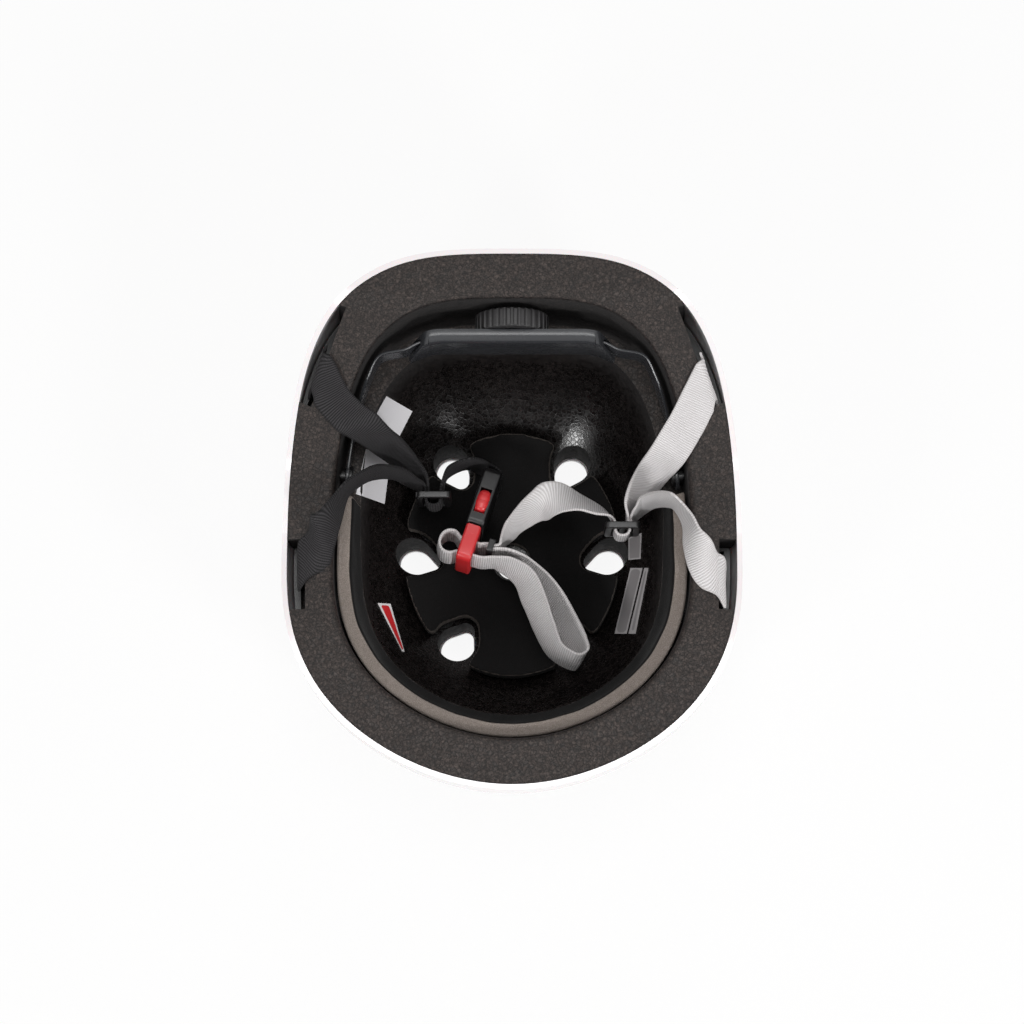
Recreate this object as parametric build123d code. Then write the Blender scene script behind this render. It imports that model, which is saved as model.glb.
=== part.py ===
from build123d import *
import math
import os

# Skateboard helmet, lying on its crown with the rim up, as it is put down on a table.
# Millimetres. +Z runs from the crown to the rim, +Y to the back of the head and +X to the
# wearer's right. The origin is on the table, under the middle of the shell.

OVERRUN = 8.0                 # every cutting tool runs this far past what it cuts

# Outer shell
SHELL_WIDTH = 216.0
SHELL_LENGTH = 252.0
SHELL_WALL = 2.4
CROWN_DEPTH = 108.0           # from the crown to the widest level
FRONT_RIM_Z = 122.0
EAR_RIM_Z = 116.0
REAR_RIM_Z = 148.0
RIM_TUCK = 2.2                # how far the wall leans back in at the rear rim
WIDEST_Y_SHARE = -0.055       # place of the widest line, as a share of the length
CROWN_Y_SHARE = -0.020
FRONT_EXPONENT = 2.0          # roundness of the plan: 2 is an ellipse
REAR_EXPONENT = 3.2
PROFILE_EXPONENT = 2.15       # roundness of the dome from crown to widest level
LEVEL_ANGLES = (1.5, 8, 19, 31, 43, 55, 67, 79, 90)
RING_POINTS = 32
# Where the rim line changes height, front to back, as shares of the length
RIM_STEP_SHARES = (-0.24, -0.02, 0.10, 0.42)

# Foam liner
LINER_CLEARANCE = 0.2         # glue line between shell and liner
LINER_DROP = 0.8              # the liner's rim face lies this far under the shell's edge
RIM_FOAM = 21.5               # foam thickness at the rim
CROWN_FOAM = 26.0
LEDGE_WIDTH = 8.0             # step in the wall that the brow pad and the bands lie on
LEDGE_FRONT_Z = 66.0
LEDGE_REAR_Z = 100.0
RIM_ROUND = 3.0               # rounding of the liner's inner rim edge

# Vents: side, back and front pairs, and a round one in the crown
VENT_LENGTH = 20.0
VENT_WIDTH = 16.5
VENT_TIP_RADIUS = 3.6
VENT_STEP = 0.9               # the liner's hole is this much larger all round
VENT_SHARES = ((0.43, -0.03), (0.27, 0.335), (0.245, -0.36))
VENT_TURNS = (12, 58, -57)
CROWN_VENT_RADIUS = 6.5

# Comfort pads, on hook-and-loop discs
PAD_FOAM = 8.0
HOOK_DISC = 1.2
HOOK_RADIUS = 9.0
HOOK_SEAT = 0.05
PAD_CLEARANCE = 0.4
BROW_PAD_FOAM = 7.6
BROW_PAD_FRONT_Z = 115.5       # its top edge, in line with the front end of the shell
BROW_PAD_REAR_Z = 99.5        # and, carried on, with the rear end
BROW_PAD_END_Y = 14.5
CROWN_PAD_WIDTH = 106.0
CROWN_PAD_LENGTH = 122.0
CROWN_PAD_Y = -4.0
CROWN_PAD_CORNER = 1.5
PAD_VENT_MARGIN = 3.2
BROW_DISC_ANGLES = (196, 233, 270, 307, 344)
BROW_DISC_Z = 95.0
CROWN_DISC_SHARES = ((0.0, -0.37), (-0.36, 0.14), (0.36, 0.14), (-0.34, -0.215), (0.34, -0.215), (0.0, 0.33))

# Webbing
WEB_WIDTH = 17.8
WEB_WALL = 1.3
WEB_CLEARANCE = 0.3
HEM_WALL = 3.6
HEM_WIDTH = 18.6
HEM_LENGTH = 6.0

# Strap notches in the outside of the liner, and the anchor plates in them
FRONT_NOTCH_WIDTH = 34.0
REAR_NOTCH_WIDTH = 46.0
NOTCH_DEPTH = 8.5
NOTCH_HEIGHT = 26.0
NOTCH_SHOULDER = 4.0
ANCHOR_WALL = 3.0
ANCHOR_FIT = 0.3
ANCHOR_SET = 5.4              # the webbing's line, in from the liner's outside
ANCHOR_SLOT_END = 1.5         # the plate's slot ends this far inside the notch
FRONT_NOTCH_ANGLE = -6.0
REAR_NOTCH_ANGLE = 44.5

# Strap dividers
DIVIDER_LENGTH = 17.0
DIVIDER_HEIGHT = 24.0
DIVIDER_WALL = 3.4
DIVIDER_SLOT = 3.6
DIVIDER_CORNER = 2.4
DIVIDER_EDGE = 0.7
LAYER_OFFSET = 0.8            # two layers of webbing lie this far each side of a slot's middle
STATION_STEP = 5.0
BEND_ANGLES = (0, 22, 45, 68, 90)
STRAP_GAP = 0.25              # between webbing ends that meet in a slot
# Places of the dividers in the bowl: shares of the half width, half length and depth
DIVIDER_SHARES = ((-0.452, 0.191, 0.476), (0.632, 0.03, 0.578))

# Side release buckle. Its own axes: l from the socket to the plug, w up, t to the wearer's right
BUCKLE_WIDTH = 27.0
BUCKLE_DEPTH = 9.0
BUCKLE_SHARES = (-0.199, 0.112, 0.300)
BUCKLE_TURN = 251.8           # plan angle of l
BUCKLE_TILT = 9.0
BUCKLE_CORNER = 3.5
BUCKLE_EDGE = 1.2
SOCKET_LENGTH = 31.0
SOCKET_SEAT = 7.0             # l of the socket's mouth
SOCKET_WALL = 1.7
SOCKET_ROOM = 22.0            # depth of the socket behind its mouth
WINDOW_LENGTH = 13.0
WINDOW_SET = 6.5              # window edge, back from the mouth
WEB_SLOT = 3.4
SLOT_SPARE = 0.5              # slot longer than the webbing's width at each end
WEB_BAR = 3.6
WEB_BAR_DEPTH = 4.0
PLUG_GAP = 0.3
PLUG_LENGTH = 17.7
PLUG_DEPTH = 7.6
PLUG_TAPER = 1.5
PLUG_BAR = 3.6
GUIDE_LENGTH = 19.0
GUIDE_WIDTH = 6.0
PRONG_FIT = 0.2
PRONG_ARM = 2.6
PRONG_NECK = 1.6
PRONG_PIVOT_RADIUS = 1.8
PRONG_PIVOT_FIT = 0.06
PRONG_PIVOT_SET = 1.9         # pivot, in from the plug's face
PRONG_OUT = 9.7               # arm's middle, out from l
PRONG_PAD = 11.6
PRONG_CATCH = 0.6             # between the catch and the window's edge
PRONG_NOSE = 2.2
PRONG_SWING = 13.0            # degrees
RELEASE_TRAVEL = 20.0
KEEPER_WALL = 1.2
KEEPER_LENGTH = 3.0
KEEPER_ROOM = 4.6
KEEPER_SPARE = 0.4

# Webbing over the rim and in the bowl, from notch to divider. A row of three lies on the rim:
# shares of the half width and half length, and the turn of the webbing's width. A row of five
# is in the open: shares of half width, half length and depth, then turn and lean in degrees.
EXIT_ANGLES = (139.0, 182.8, 39.4, -7.3)
REAR_LEFT_SHARES = (
    (-1.000, 0.556, 33), (-0.915, 0.487, 27), (-0.843, 0.444, 1.075, 22, 10), (-0.768, 0.408, 0.985, 18, 25),
    (-0.685, 0.380, 0.800, 18, 42), (-0.604, 0.340, 0.640, 10, 60), (-0.525, 0.290, 0.535, 0, 76))
FRONT_LEFT_SHARES = (
    (-1.095, -0.128, 1.035, 103, 12), (-1.050, -0.062, 1.085, 118, 38), (-1.012, 0.005, 1.098, 142, 56),
    (-0.975, 0.078, 1.070, 168, 74), (-0.921, 0.160, 1.026, 182, 84), (-0.795, 0.250, 0.880, 152, 87),
    (-0.691, 0.282, 0.725, 117, 87), (-0.600, 0.272, 0.590, 60, 85), (-0.548, 0.255, 0.520, 40, 87))
REAR_RIGHT_SHARES = (
    (1.040, 0.548, 128), (0.985, 0.460, 135), (0.930, 0.385, 1.055, 143, 8), (0.876, 0.319, 1.006, 152, 15),
    (0.793, 0.248, 0.835, 162, 32), (0.718, 0.170, 0.680, 182, 52), (0.670, 0.118, 0.601, 190, 80))
FRONT_RIGHT_SHARES = (
    (1.092, -0.245, 1.055, 74, 6), (1.045, -0.190, 1.092, 62, 28), (1.000, -0.112, 1.085, 54, 60),
    (0.962, -0.010, 1.040, 40, 83), (0.878, 0.092, 1.052, 61, 86), (0.785, 0.128, 0.870, 117, 84),
    (0.735, 0.124, 0.715, 129, 80), (0.715, 0.100, 0.630, 129, 85))
CHIN_LEFT_SHARES = (
    (-0.400, 0.262, 0.465, 70, 86), (-0.368, 0.330, 0.430, 60, 83), (-0.258, 0.380, 0.360, 90, 88))
CHIN_RIGHT_SHARES = (
    (0.570, 0.082, 0.575, 200, 84), (0.500, 0.118, 0.580, 234, 62), (0.374, 0.160, 0.610, 270, 51),
    (0.264, 0.176, 0.616, 267, 24), (0.212, 0.168, 0.604, 282, -16), (0.165, 0.151, 0.575, 293, -52),
    (0.081, 0.113, 0.501, 303, -66), (0.010, 0.066, 0.415, 335, -75), (-0.048, 0.008, 0.322, 350, -82))
TAIL_OUT_SHARES = (
    (-0.046, -0.103, 0.335, 22, 64), (0.070, -0.172, 0.348, 15, 55), (0.133, -0.298, 0.386, 2, 53),
    (0.187, -0.423, 0.425, 9, 59), (0.247, -0.530, 0.463, 22, 66), (0.330, -0.583, 0.476, 44, 67))
TAIL_TURN_SHARES = ((0.384, -0.590, 0.466, 60, 66), (0.404, -0.562, 0.447, 45, 64))
TAIL_BACK_SHARES = (
    (0.380, -0.512, 0.418, 22, 60), (0.318, -0.402, 0.361, 9, 54), (0.250, -0.288, 0.322, 6, 53),
    (0.166, -0.183, 0.300, 1, 55), (0.053, -0.082, 0.300, -2, 67), (-0.026, -0.051, 0.324, 0, 76))
# Webbing at the buckle, as shares of the webbing's width along l and t
SOCKET_WRAP_SHARES = (
    (-1.510, -0.210), (-1.470, 0.060), (-1.350, 0.235), (-1.180, 0.255), (-1.060, 0.140), (-1.050, -0.060),
    (-1.110, -0.200), (-1.240, -0.235), (-1.360, -0.170))
KEEPER_PLACE_SHARES = (0.744, 0.601)
CHIN_END_SHARES = ((0.618, 0.803), (0.685, 0.691), (0.691, 0.517), (0.736, 0.388))
TAIL_LOOP_SHARES = (
    (0.0, -0.250), (-0.130, -0.430), (-0.110, -0.640), (0.060, -0.770), (0.320, -0.770), (0.490, -0.640),
    (0.510, -0.430))
TAIL_EXIT_SHARES = ((1.146, 0.250), (1.120, 0.480), (1.010, 0.760))
TAIL_END_SHARES = ((0.736, 0.865), (0.798, 0.697), (0.803, 0.545))

# Rear dial adjuster
DIAL_Z = 124.0
KNOB_RADIUS = 17.5
KNOB_DEPTH = 9.0
KNOB_GAP = 4.0                # between the knob and the liner's wall
KNURL_COUNT = 32
KNURL_RADIUS = 1.1
KNOB_DISH = 1.2
KNOB_RIM = 3.2
KNOB_EDGE = 0.8
KNOB_HOLLOW_RADIUS = 12.5
KNOB_HOLLOW = 3.4
RUNNING_GAP = 0.3
BASE_WALL = 1.5
BASE_LENGTH = 60.0
BASE_HEIGHT = 19.0
BASE_FIT = 0.1
COVER_WALL = 1.8
RACK_WALL = 1.2
LAYER_GAP = 0.15
HOUSING_HEIGHT = 24.0
HOUSING_TOP_WIDTH = 82.0
HOUSING_BOTTOM_WIDTH = 102.0
HOUSING_CORNER = 4.0
HOUSING_FLAT = 64.0           # straight middle of the housing
TIP_RADIUS = 32.0             # bend of each end, in plan
TIP_BEND = 34.0               # degrees
PINION_TEETH = 9
GEAR_MODULE = 0.8
GEAR_BACKLASH = 0.35
GEAR_FLANK = 20.0             # degrees
ADDENDUM_SHARE = 0.80
DEDENDUM_SHARE = 1.10
SHAFT_RADIUS = 2.4
SHAFT_FIT = 0.05
SHAFT_DEPTH = 6.2             # how far the shaft goes up into the knob
PILOT_RADIUS = 1.4
PILOT_LENGTH = 0.9
BOSS_RADIUS = 7.0
BOSS_HEIGHT = 2.0
DETENT_TEETH = 20
DETENT_DEPTH = 0.7
SCREW_RADIUS = 1.1
SCREW_LENGTH = 6.0
SCREW_HEAD_RADIUS = 3.2
SCREW_HEAD = 1.6
SCREW_DRIVE = 0.8
BAND_HEIGHT = 13.0
BAND_ROOM = 0.3               # room above and below a band in the housing
BAND_WALL = 1.2
RACK_LIP = 4.2                # solid end of a rack beyond its slot
RACK_END_GAP = 0.3            # between a rack and the band it pulls
RACK_REACH = 32.5             # outer end of a rack, from the dial's axis
TIGHTEN_TRAVEL = 12.0
BAND_WALL_GAP = 3.0           # between a band and the liner's wall
BAND_ANCHOR_ANGLE = 26.0      # plan angle of the band's pin
BAND_ANCHOR_Z = 97.0
BAND_ANGLES = (56, 51, 46, 41, 36, 31)
BAND_RISE_SHARES = (0.86, 0.62, 0.34, 0.13, 0.02, 0.0)
TIP_STEPS = 4
BAND_EYE_RADIUS = 7.2
BAND_EYE_WALL = 1.8
PIN_RADIUS = 2.4
PIN_HEAD_RADIUS = 5.2
PIN_HEAD = 1.6
PIN_COLLAR_RADIUS = 4.0
PIN_LENGTH = 12.0             # how far the pin goes into the foam
PIN_FIT = 0.05
PIN_GAP = 0.1
PIN_COLLAR_GAP = 0.6          # the wall curves, so the collar stops short of it

# Worked out from the sizes above
WIDEST_Y = SHELL_LENGTH * WIDEST_Y_SHARE
CROWN_Y = SHELL_LENGTH * CROWN_Y_SHARE
LINER_INSET = SHELL_WALL + LINER_CLEARANCE
CAVITY_INSET = LINER_INSET + RIM_FOAM
LEDGE_INSET = CAVITY_INSET + LEDGE_WIDTH
FLOOR_Z = LINER_INSET + CROWN_FOAM
PAD_TOP_Z = FLOOR_Z + HOOK_DISC + PAD_FOAM
RECESS_Z = FLOOR_Z - LEDGE_WIDTH   # the wall above the ledge, carried down, ends here
CAVITY_HALF_WIDTH = SHELL_WIDTH / 2 - CAVITY_INSET
CAVITY_HALF_LENGTH = SHELL_LENGTH / 2 - CAVITY_INSET
KNOB_Y = CAVITY_HALF_LENGTH - KNOB_GAP - KNOB_DEPTH
BASE_Y = KNOB_Y - RUNNING_GAP - BASE_WALL
COVER_Y = BASE_Y - 2 * RACK_WALL - 3 * LAYER_GAP
PINION_Y = COVER_Y + LAYER_GAP
TIP_CENTRE_Y = (BASE_Y + BASE_WALL + COVER_Y - COVER_WALL) / 2 - TIP_RADIUS
UP = Vector(0, 0, 1)


def plan_radius(angle, inset):
    """Distance from the widest centre to the wall, at a plan angle in degrees from +X."""
    c, s = math.cos(math.radians(angle)), math.sin(math.radians(angle))
    side = SHELL_WIDTH / 2 - inset
    reach = SHELL_LENGTH / 2 - inset + (-WIDEST_Y if s >= 0 else WIDEST_Y)
    exponent = FRONT_EXPONENT + (REAR_EXPONENT - FRONT_EXPONENT) * (1 + s) / 2
    return (abs(c / side) ** exponent + abs(s / reach) ** exponent) ** (-1 / exponent)


def level_scale(z, crown_z):
    """How far a dome's section at z has grown, and how far its wall has tucked back in."""
    if z < CROWN_DEPTH:
        rise = (CROWN_DEPTH - z) / (CROWN_DEPTH - crown_z)
        return (1 - rise ** PROFILE_EXPONENT) ** (1 / PROFILE_EXPONENT), 0
    return 1, RIM_TUCK * ((z - CROWN_DEPTH) / (REAR_RIM_Z - CROWN_DEPTH)) ** 2


def wall_point(angle, z, inset, crown_z):
    """The point of a dome's wall at a plan angle and a height."""
    scale, tuck = level_scale(z, crown_z)
    radius = plan_radius(angle, inset + tuck) * scale
    centre_y = WIDEST_Y + (CROWN_Y - WIDEST_Y) * (1 - scale)
    across, back = math.cos(math.radians(angle)), math.sin(math.radians(angle))
    return Vector(radius * across, centre_y + radius * back, z)


def dome(inset, crown_z):
    """A solid dome inside the shell's outer face by inset, from crown_z past the rear rim."""
    levels = [crown_z + (CROWN_DEPTH - crown_z) * (1 - math.cos(math.radians(a))) for a in LEVEL_ANGLES]
    levels += [(CROWN_DEPTH + REAR_RIM_Z) / 2, REAR_RIM_Z + OVERRUN]
    rings = []
    for z in levels:
        points = [wall_point(360 * i / RING_POINTS, z, inset, crown_z) for i in range(RING_POINTS)]
        rings.append(Wire([Spline(*points, periodic=True)]))
    return Solid.make_loft(rings)


def rim_height(y):
    """Height of the shell's edge at a place along the length."""
    brow_end, ear_start, ear_end, back_start = (SHELL_LENGTH * share for share in RIM_STEP_SHARES)
    if y < ear_start:
        t = max((y - brow_end) / (ear_start - brow_end), 0)
        return FRONT_RIM_Z + (EAR_RIM_Z - FRONT_RIM_Z) * t * t * (3 - 2 * t)
    t = min(max((y - ear_end) / (back_start - ear_end), 0), 1)
    return EAR_RIM_Z + (REAR_RIM_Z - EAR_RIM_Z) * t * t * (3 - 2 * t)


def across_helmet(outline):
    """Extrudes a side view outline, drawn as (y, z), across the whole width."""
    return extrude(Plane.YZ * outline, SHELL_WIDTH / 2 + OVERRUN, both=True)


def above_rim(drop):
    """Everything above the rim line lowered by drop, as a cutting tool."""
    brow_end, ear_start, ear_end, back_start = (SHELL_LENGTH * share for share in RIM_STEP_SHARES)
    front, ear, back = FRONT_RIM_Z - drop, EAR_RIM_Z - drop, REAR_RIM_Z - drop
    end = SHELL_LENGTH / 2 + OVERRUN
    top = REAR_RIM_Z + 3 * OVERRUN

    def slope(y0, z0, y1, z1):
        third = (y1 - y0) / 3
        return Bezier((y0, z0), (y0 + third, z0), (y1 - third, z1), (y1, z1))

    edges = [
        Line((-end, front), (brow_end, front)),
        slope(brow_end, front, ear_start, ear),
        Line((ear_start, ear), (ear_end, ear)),
        slope(ear_end, ear, back_start, back),
        Line((back_start, back), (end, back)),
        Line((end, back), (end, top)),
        Line((end, top), (-end, top)),
        Line((-end, top), (-end, front)),
    ]
    return across_helmet(make_face(edges))


def above_line(front_z, rear_z, lift):
    """Everything above a straight side view line between the two ends of the shell."""
    half = SHELL_LENGTH / 2
    low, high = front_z + lift, rear_z + lift
    top = REAR_RIM_Z + 3 * OVERRUN
    return across_helmet(make_face(Polyline((-half, low), (half, high), (half, top), (-half, top), close=True)))


def teardrop(length, width, tip_radius, grow):
    """A vent outline on its own axis: narrow end towards the crown."""
    wide = width / 2 + grow
    narrow = tip_radius + grow
    reach = length / 2 + grow
    return make_hull((Pos(reach - wide, 0) * Circle(wide)).edges() + (Pos(narrow - reach, 0) * Circle(narrow)).edges())


def vent_places():
    """Plan place and turn of each vent that is off the middle."""
    places = []
    for (x_share, y_share), turn in zip(VENT_SHARES, VENT_TURNS):
        x, y = x_share * SHELL_WIDTH / 2, y_share * SHELL_LENGTH / 2
        places += [(x, y, turn), (-x, y, 180 - turn)]
    return places


def vents(grow):
    """All vent openings, as upright cutting tools."""
    tools = [Pos(0, CROWN_Y, -OVERRUN) * extrude(Circle(CROWN_VENT_RADIUS + grow), CROWN_DEPTH)]
    for x, y, turn in vent_places():
        outline = teardrop(VENT_LENGTH, VENT_WIDTH, VENT_TIP_RADIUS, grow)
        tools.append(Pos(x, y, -OVERRUN) * Rot(0, 0, turn) * extrude(outline, CROWN_DEPTH))
    return tools


def rim_frame(angle, inset):
    """Point of the wall at the rim, the way out and the way along, at a plan angle."""
    ahead = wall_point(angle + 1, CROWN_DEPTH, inset, 0)
    behind = wall_point(angle - 1, CROWN_DEPTH, inset, 0)
    along = (ahead - behind).normalized()
    point = wall_point(angle, CROWN_DEPTH, inset, 0)
    rim_z = rim_height(point.Y) - LINER_DROP
    return Vector(point.X, point.Y, rim_z), along.cross(UP), along


def notch_angles():
    """Plan angles of the four strap notches: back left, front left, back right, front right."""
    return 180 - REAR_NOTCH_ANGLE, 180 - FRONT_NOTCH_ANGLE, REAR_NOTCH_ANGLE, FRONT_NOTCH_ANGLE


def notch_width(index):
    """Width of a notch: the back ones come first in each pair."""
    return FRONT_NOTCH_WIDTH if index % 2 else REAR_NOTCH_WIDTH


def notch_plane(angle):
    """A plane at the rim over a notch: x along the rim, y out of the helmet, z up."""
    point, outward, along = rim_frame(angle, LINER_INSET)
    return Plane(origin=point, x_dir=along * -1, z_dir=UP)


def outer_shell():
    """Hard shell with its vents and its trimmed edge."""
    shell = dome(0, 0) - dome(SHELL_WALL, SHELL_WALL)
    for tool in vents(0):
        shell -= tool
    return shell - above_rim(0)


def strap_notch(width):
    """Tool for one notch: a wide slot at the rim, with shoulders that hold the anchor plate."""
    slot = Pos(0, -NOTCH_DEPTH / 2 + OVERRUN / 2, OVERRUN / 2 - NOTCH_HEIGHT / 2) * Box(
        width, NOTCH_DEPTH + OVERRUN, NOTCH_HEIGHT + OVERRUN)
    seat = Pos(0, -NOTCH_DEPTH / 2 + OVERRUN / 2, -NOTCH_HEIGHT - ANCHOR_WALL / 2) * Box(
        width + 2 * NOTCH_SHOULDER, NOTCH_DEPTH + OVERRUN, ANCHOR_WALL + 2 * ANCHOR_FIT)
    sump = Pos(0, -NOTCH_DEPTH / 2 + OVERRUN / 2, -NOTCH_HEIGHT - ANCHOR_WALL - HEM_LENGTH / 2) * Box(
        width, NOTCH_DEPTH + OVERRUN, HEM_LENGTH + 4 * ANCHOR_FIT)
    return slot + seat + sump


def inner_rim_edges(body):
    """The edges where the liner's rim face meets the wall of the bowl."""
    edges = []
    for edge in body.edges().filter_by(GeomType.LINE, reverse=True):
        middle = edge.position_at(0.5)
        angle = math.degrees(math.atan2(middle.Y - WIDEST_Y, middle.X))
        radius = math.hypot(middle.X, middle.Y - WIDEST_Y)
        on_wall = abs(radius - plan_radius(angle, CAVITY_INSET)) < RIM_ROUND
        if on_wall and middle.Z > EAR_RIM_Z - LINER_DROP - RIM_ROUND / RING_POINTS:
            edges.append(edge)
    return edges


def liner():
    """Foam liner: bowl, ledge, vents, strap notches and the holes for the band pins."""
    body = dome(LINER_INSET, LINER_INSET)
    bowl = dome(LEDGE_INSET, FLOOR_Z)
    recess = dome(CAVITY_INSET, RECESS_Z) & above_line(LEDGE_FRONT_Z, LEDGE_REAR_Z, 0)
    body = body - bowl - recess - above_rim(LINER_DROP)
    body = fillet(inner_rim_edges(body), RIM_ROUND)
    for tool in vents(VENT_STEP):
        body -= tool
    for index, angle in enumerate(notch_angles()):
        body -= notch_plane(angle) * strap_notch(notch_width(index))
    for side in (-1, 1):
        body -= pin_plane(side) * Pos(0, 0, -OVERRUN) * extrude(Circle(PIN_RADIUS + PIN_FIT), OVERRUN + PIN_LENGTH + PIN_FIT)
    return body


def skin(inset, crown_z, lift, thickness):
    """A layer lying over a dome's inner face, lift above it."""
    return dome(inset + lift, crown_z + lift) - dome(inset + lift + thickness, crown_z + lift + thickness)


def brow_pad():
    """The U shaped pad round the forehead, standing on the ledge."""
    lift = HOOK_DISC + HOOK_SEAT
    pad = skin(CAVITY_INSET, RECESS_Z, lift, BROW_PAD_FOAM)
    pad &= above_line(LEDGE_FRONT_Z, LEDGE_REAR_Z, PAD_CLEARANCE)
    pad -= above_line(BROW_PAD_FRONT_Z, BROW_PAD_REAR_Z, 0)
    behind = SHELL_LENGTH / 2 - BROW_PAD_END_Y
    pad -= Pos(0, BROW_PAD_END_Y + behind / 2 + OVERRUN / 2, SHELL_WIDTH / 2) * Box(
        SHELL_WIDTH, behind + OVERRUN, 2 * SHELL_WIDTH)
    return pad


def crown_pad():
    """The lobed pad over the crown, cut back round every vent."""
    outline = Pos(0, CROWN_PAD_Y) * Ellipse(CROWN_PAD_WIDTH / 2, CROWN_PAD_LENGTH / 2)
    for x, y, turn in vent_places():
        vent = Pos(x, y) * Rot(0, 0, turn) * teardrop(VENT_LENGTH, VENT_WIDTH, VENT_TIP_RADIUS, PAD_VENT_MARGIN)
        out = Vector(x, y, 0).normalized() * CROWN_PAD_WIDTH / 2
        outline -= make_hull(vent.edges() + (Pos(out) * vent).edges())
    outline -= Pos(0, CROWN_Y) * Circle(CROWN_VENT_RADIUS + PAD_VENT_MARGIN)
    corners = [v for v in outline.vertices() if abs(v.X) > CROWN_PAD_CORNER and abs(
        math.hypot(v.X / CROWN_PAD_WIDTH, (v.Y - CROWN_PAD_Y) / CROWN_PAD_LENGTH) - 1 / 2) < HOOK_SEAT / 100]
    outline = fillet(corners, CROWN_PAD_CORNER)
    return extrude(outline, SHELL_WIDTH / 2) & skin(LEDGE_INSET, FLOOR_Z, HOOK_DISC + HOOK_SEAT, PAD_FOAM)


def hook_patches():
    """Hook discs between the pads and the foam."""
    crown = [Pos(x * CROWN_PAD_WIDTH, CROWN_PAD_Y + y * CROWN_PAD_LENGTH, 0) * extrude(
        Circle(HOOK_RADIUS), SHELL_WIDTH / 2) for x, y in CROWN_DISC_SHARES]
    brow = []
    for angle in BROW_DISC_ANGLES:
        point = wall_point(angle, BROW_DISC_Z, CAVITY_INSET, RECESS_Z)
        ahead = wall_point(angle + 1, BROW_DISC_Z, CAVITY_INSET, RECESS_Z)
        out = (ahead - point).normalized().cross(UP)
        place = Plane(origin=point - out * HOOK_RADIUS, x_dir=UP, z_dir=out)
        brow.append(place * extrude(Circle(HOOK_RADIUS), 2 * HOOK_RADIUS))
    layer = HOOK_DISC - HOOK_SEAT
    low = skin(LEDGE_INSET, FLOOR_Z, HOOK_SEAT, layer)
    side = skin(CAVITY_INSET, RECESS_Z, HOOK_SEAT, layer)
    discs = [tool & low for tool in crown] + [tool & side for tool in brow]
    return Compound(children=[solid for disc in discs for solid in disc.solids()])


def bowl_point(x, y, z):
    """A place in the bowl from shares of its half width, half length and depth."""
    return Vector(x * CAVITY_HALF_WIDTH, y * CAVITY_HALF_LENGTH, PAD_TOP_Z + z * (EAR_RIM_Z - PAD_TOP_Z))


def heading(turn, lean):
    """Unit vector at a plan angle, raised from the level by lean."""
    t, l = math.radians(turn), math.radians(lean)
    return Vector(math.cos(t) * math.cos(l), math.sin(t) * math.cos(l), math.sin(l))


def stations(rows):
    """Centre and width direction of the webbing for each row of a table."""
    made = []
    for row in rows:
        if len(row) == 3:
            point = bowl_point(row[0], row[1], 0)
            face = rim_height(point.Y) - LINER_DROP
            slope = (rim_height(point.Y + 1) - rim_height(point.Y - 1)) / 2
            flat = heading(row[2], 0)
            lift = (WEB_WALL / 2 + WEB_CLEARANCE) * math.hypot(1, slope) + WEB_CLEARANCE
            made.append((Vector(point.X, point.Y, face + lift), Vector(flat.X, flat.Y, flat.Y * slope).normalized()))
        else:
            made.append((bowl_point(*row[:3]), heading(*row[3:])))
    return made


def eased(places):
    """Adds stations along a smooth course wherever two of them are far apart."""
    centres = [centre for centre, across in places]
    centres = [centres[0] * 2 - centres[1]] + centres + [centres[-1] * 2 - centres[-2]]
    made = []
    for i, (start, end) in enumerate(zip(places, places[1:])):
        a, b, c, d = centres[i:i + 4]
        gap = (c - b).length
        leaving = (c - a) * (gap / ((b - a).length + gap))
        arriving = (d - b) * (gap / ((d - c).length + gap))
        count = max(1, round(gap / STATION_STEP))
        for k in range(count):
            t = k / count
            ease = t * t * (3 - 2 * t)
            centre = b * (1 - ease) + c * ease + leaving * (t * (1 - t) ** 2) - arriving * (t * t * (1 - t))
            made.append((centre, (start[1] * (1 - t) + end[1] * t).normalized()))
    return made + [places[-1]]


def polygon(*points):
    """Flat face with straight sides."""
    return Face(Wire.make_polygon(points, close=True))


def ribbon(places, wall, width):
    """A flat strip through a row of (centre, width direction)."""
    places = eased(places)
    rings = []
    for i, (centre, across) in enumerate(places):
        ahead = places[min(i + 1, len(places) - 1)][0]
        behind = places[max(i - 1, 0)][0]
        along = (ahead - behind).normalized()
        side = (across - along * across.dot(along)).normalized()
        lift = along.cross(side) * wall / 2
        side = side * width / 2
        rings.append([centre - side - lift, centre + side - lift, centre + side + lift, centre - side + lift])
    faces = [polygon(*rings[0]), polygon(*rings[-1])]
    for near, far in zip(rings, rings[1:]):
        for k in range(4):
            a, b, c, d = near[k], near[(k + 1) % 4], far[(k + 1) % 4], far[k]
            if k > 1:             # both broad faces are split along the same diagonal
                a, b, c, d = b, c, d, a
            faces += [polygon(a, b, c), polygon(a, c, d)]
    return Part() + Solid(Shell(faces))


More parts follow.
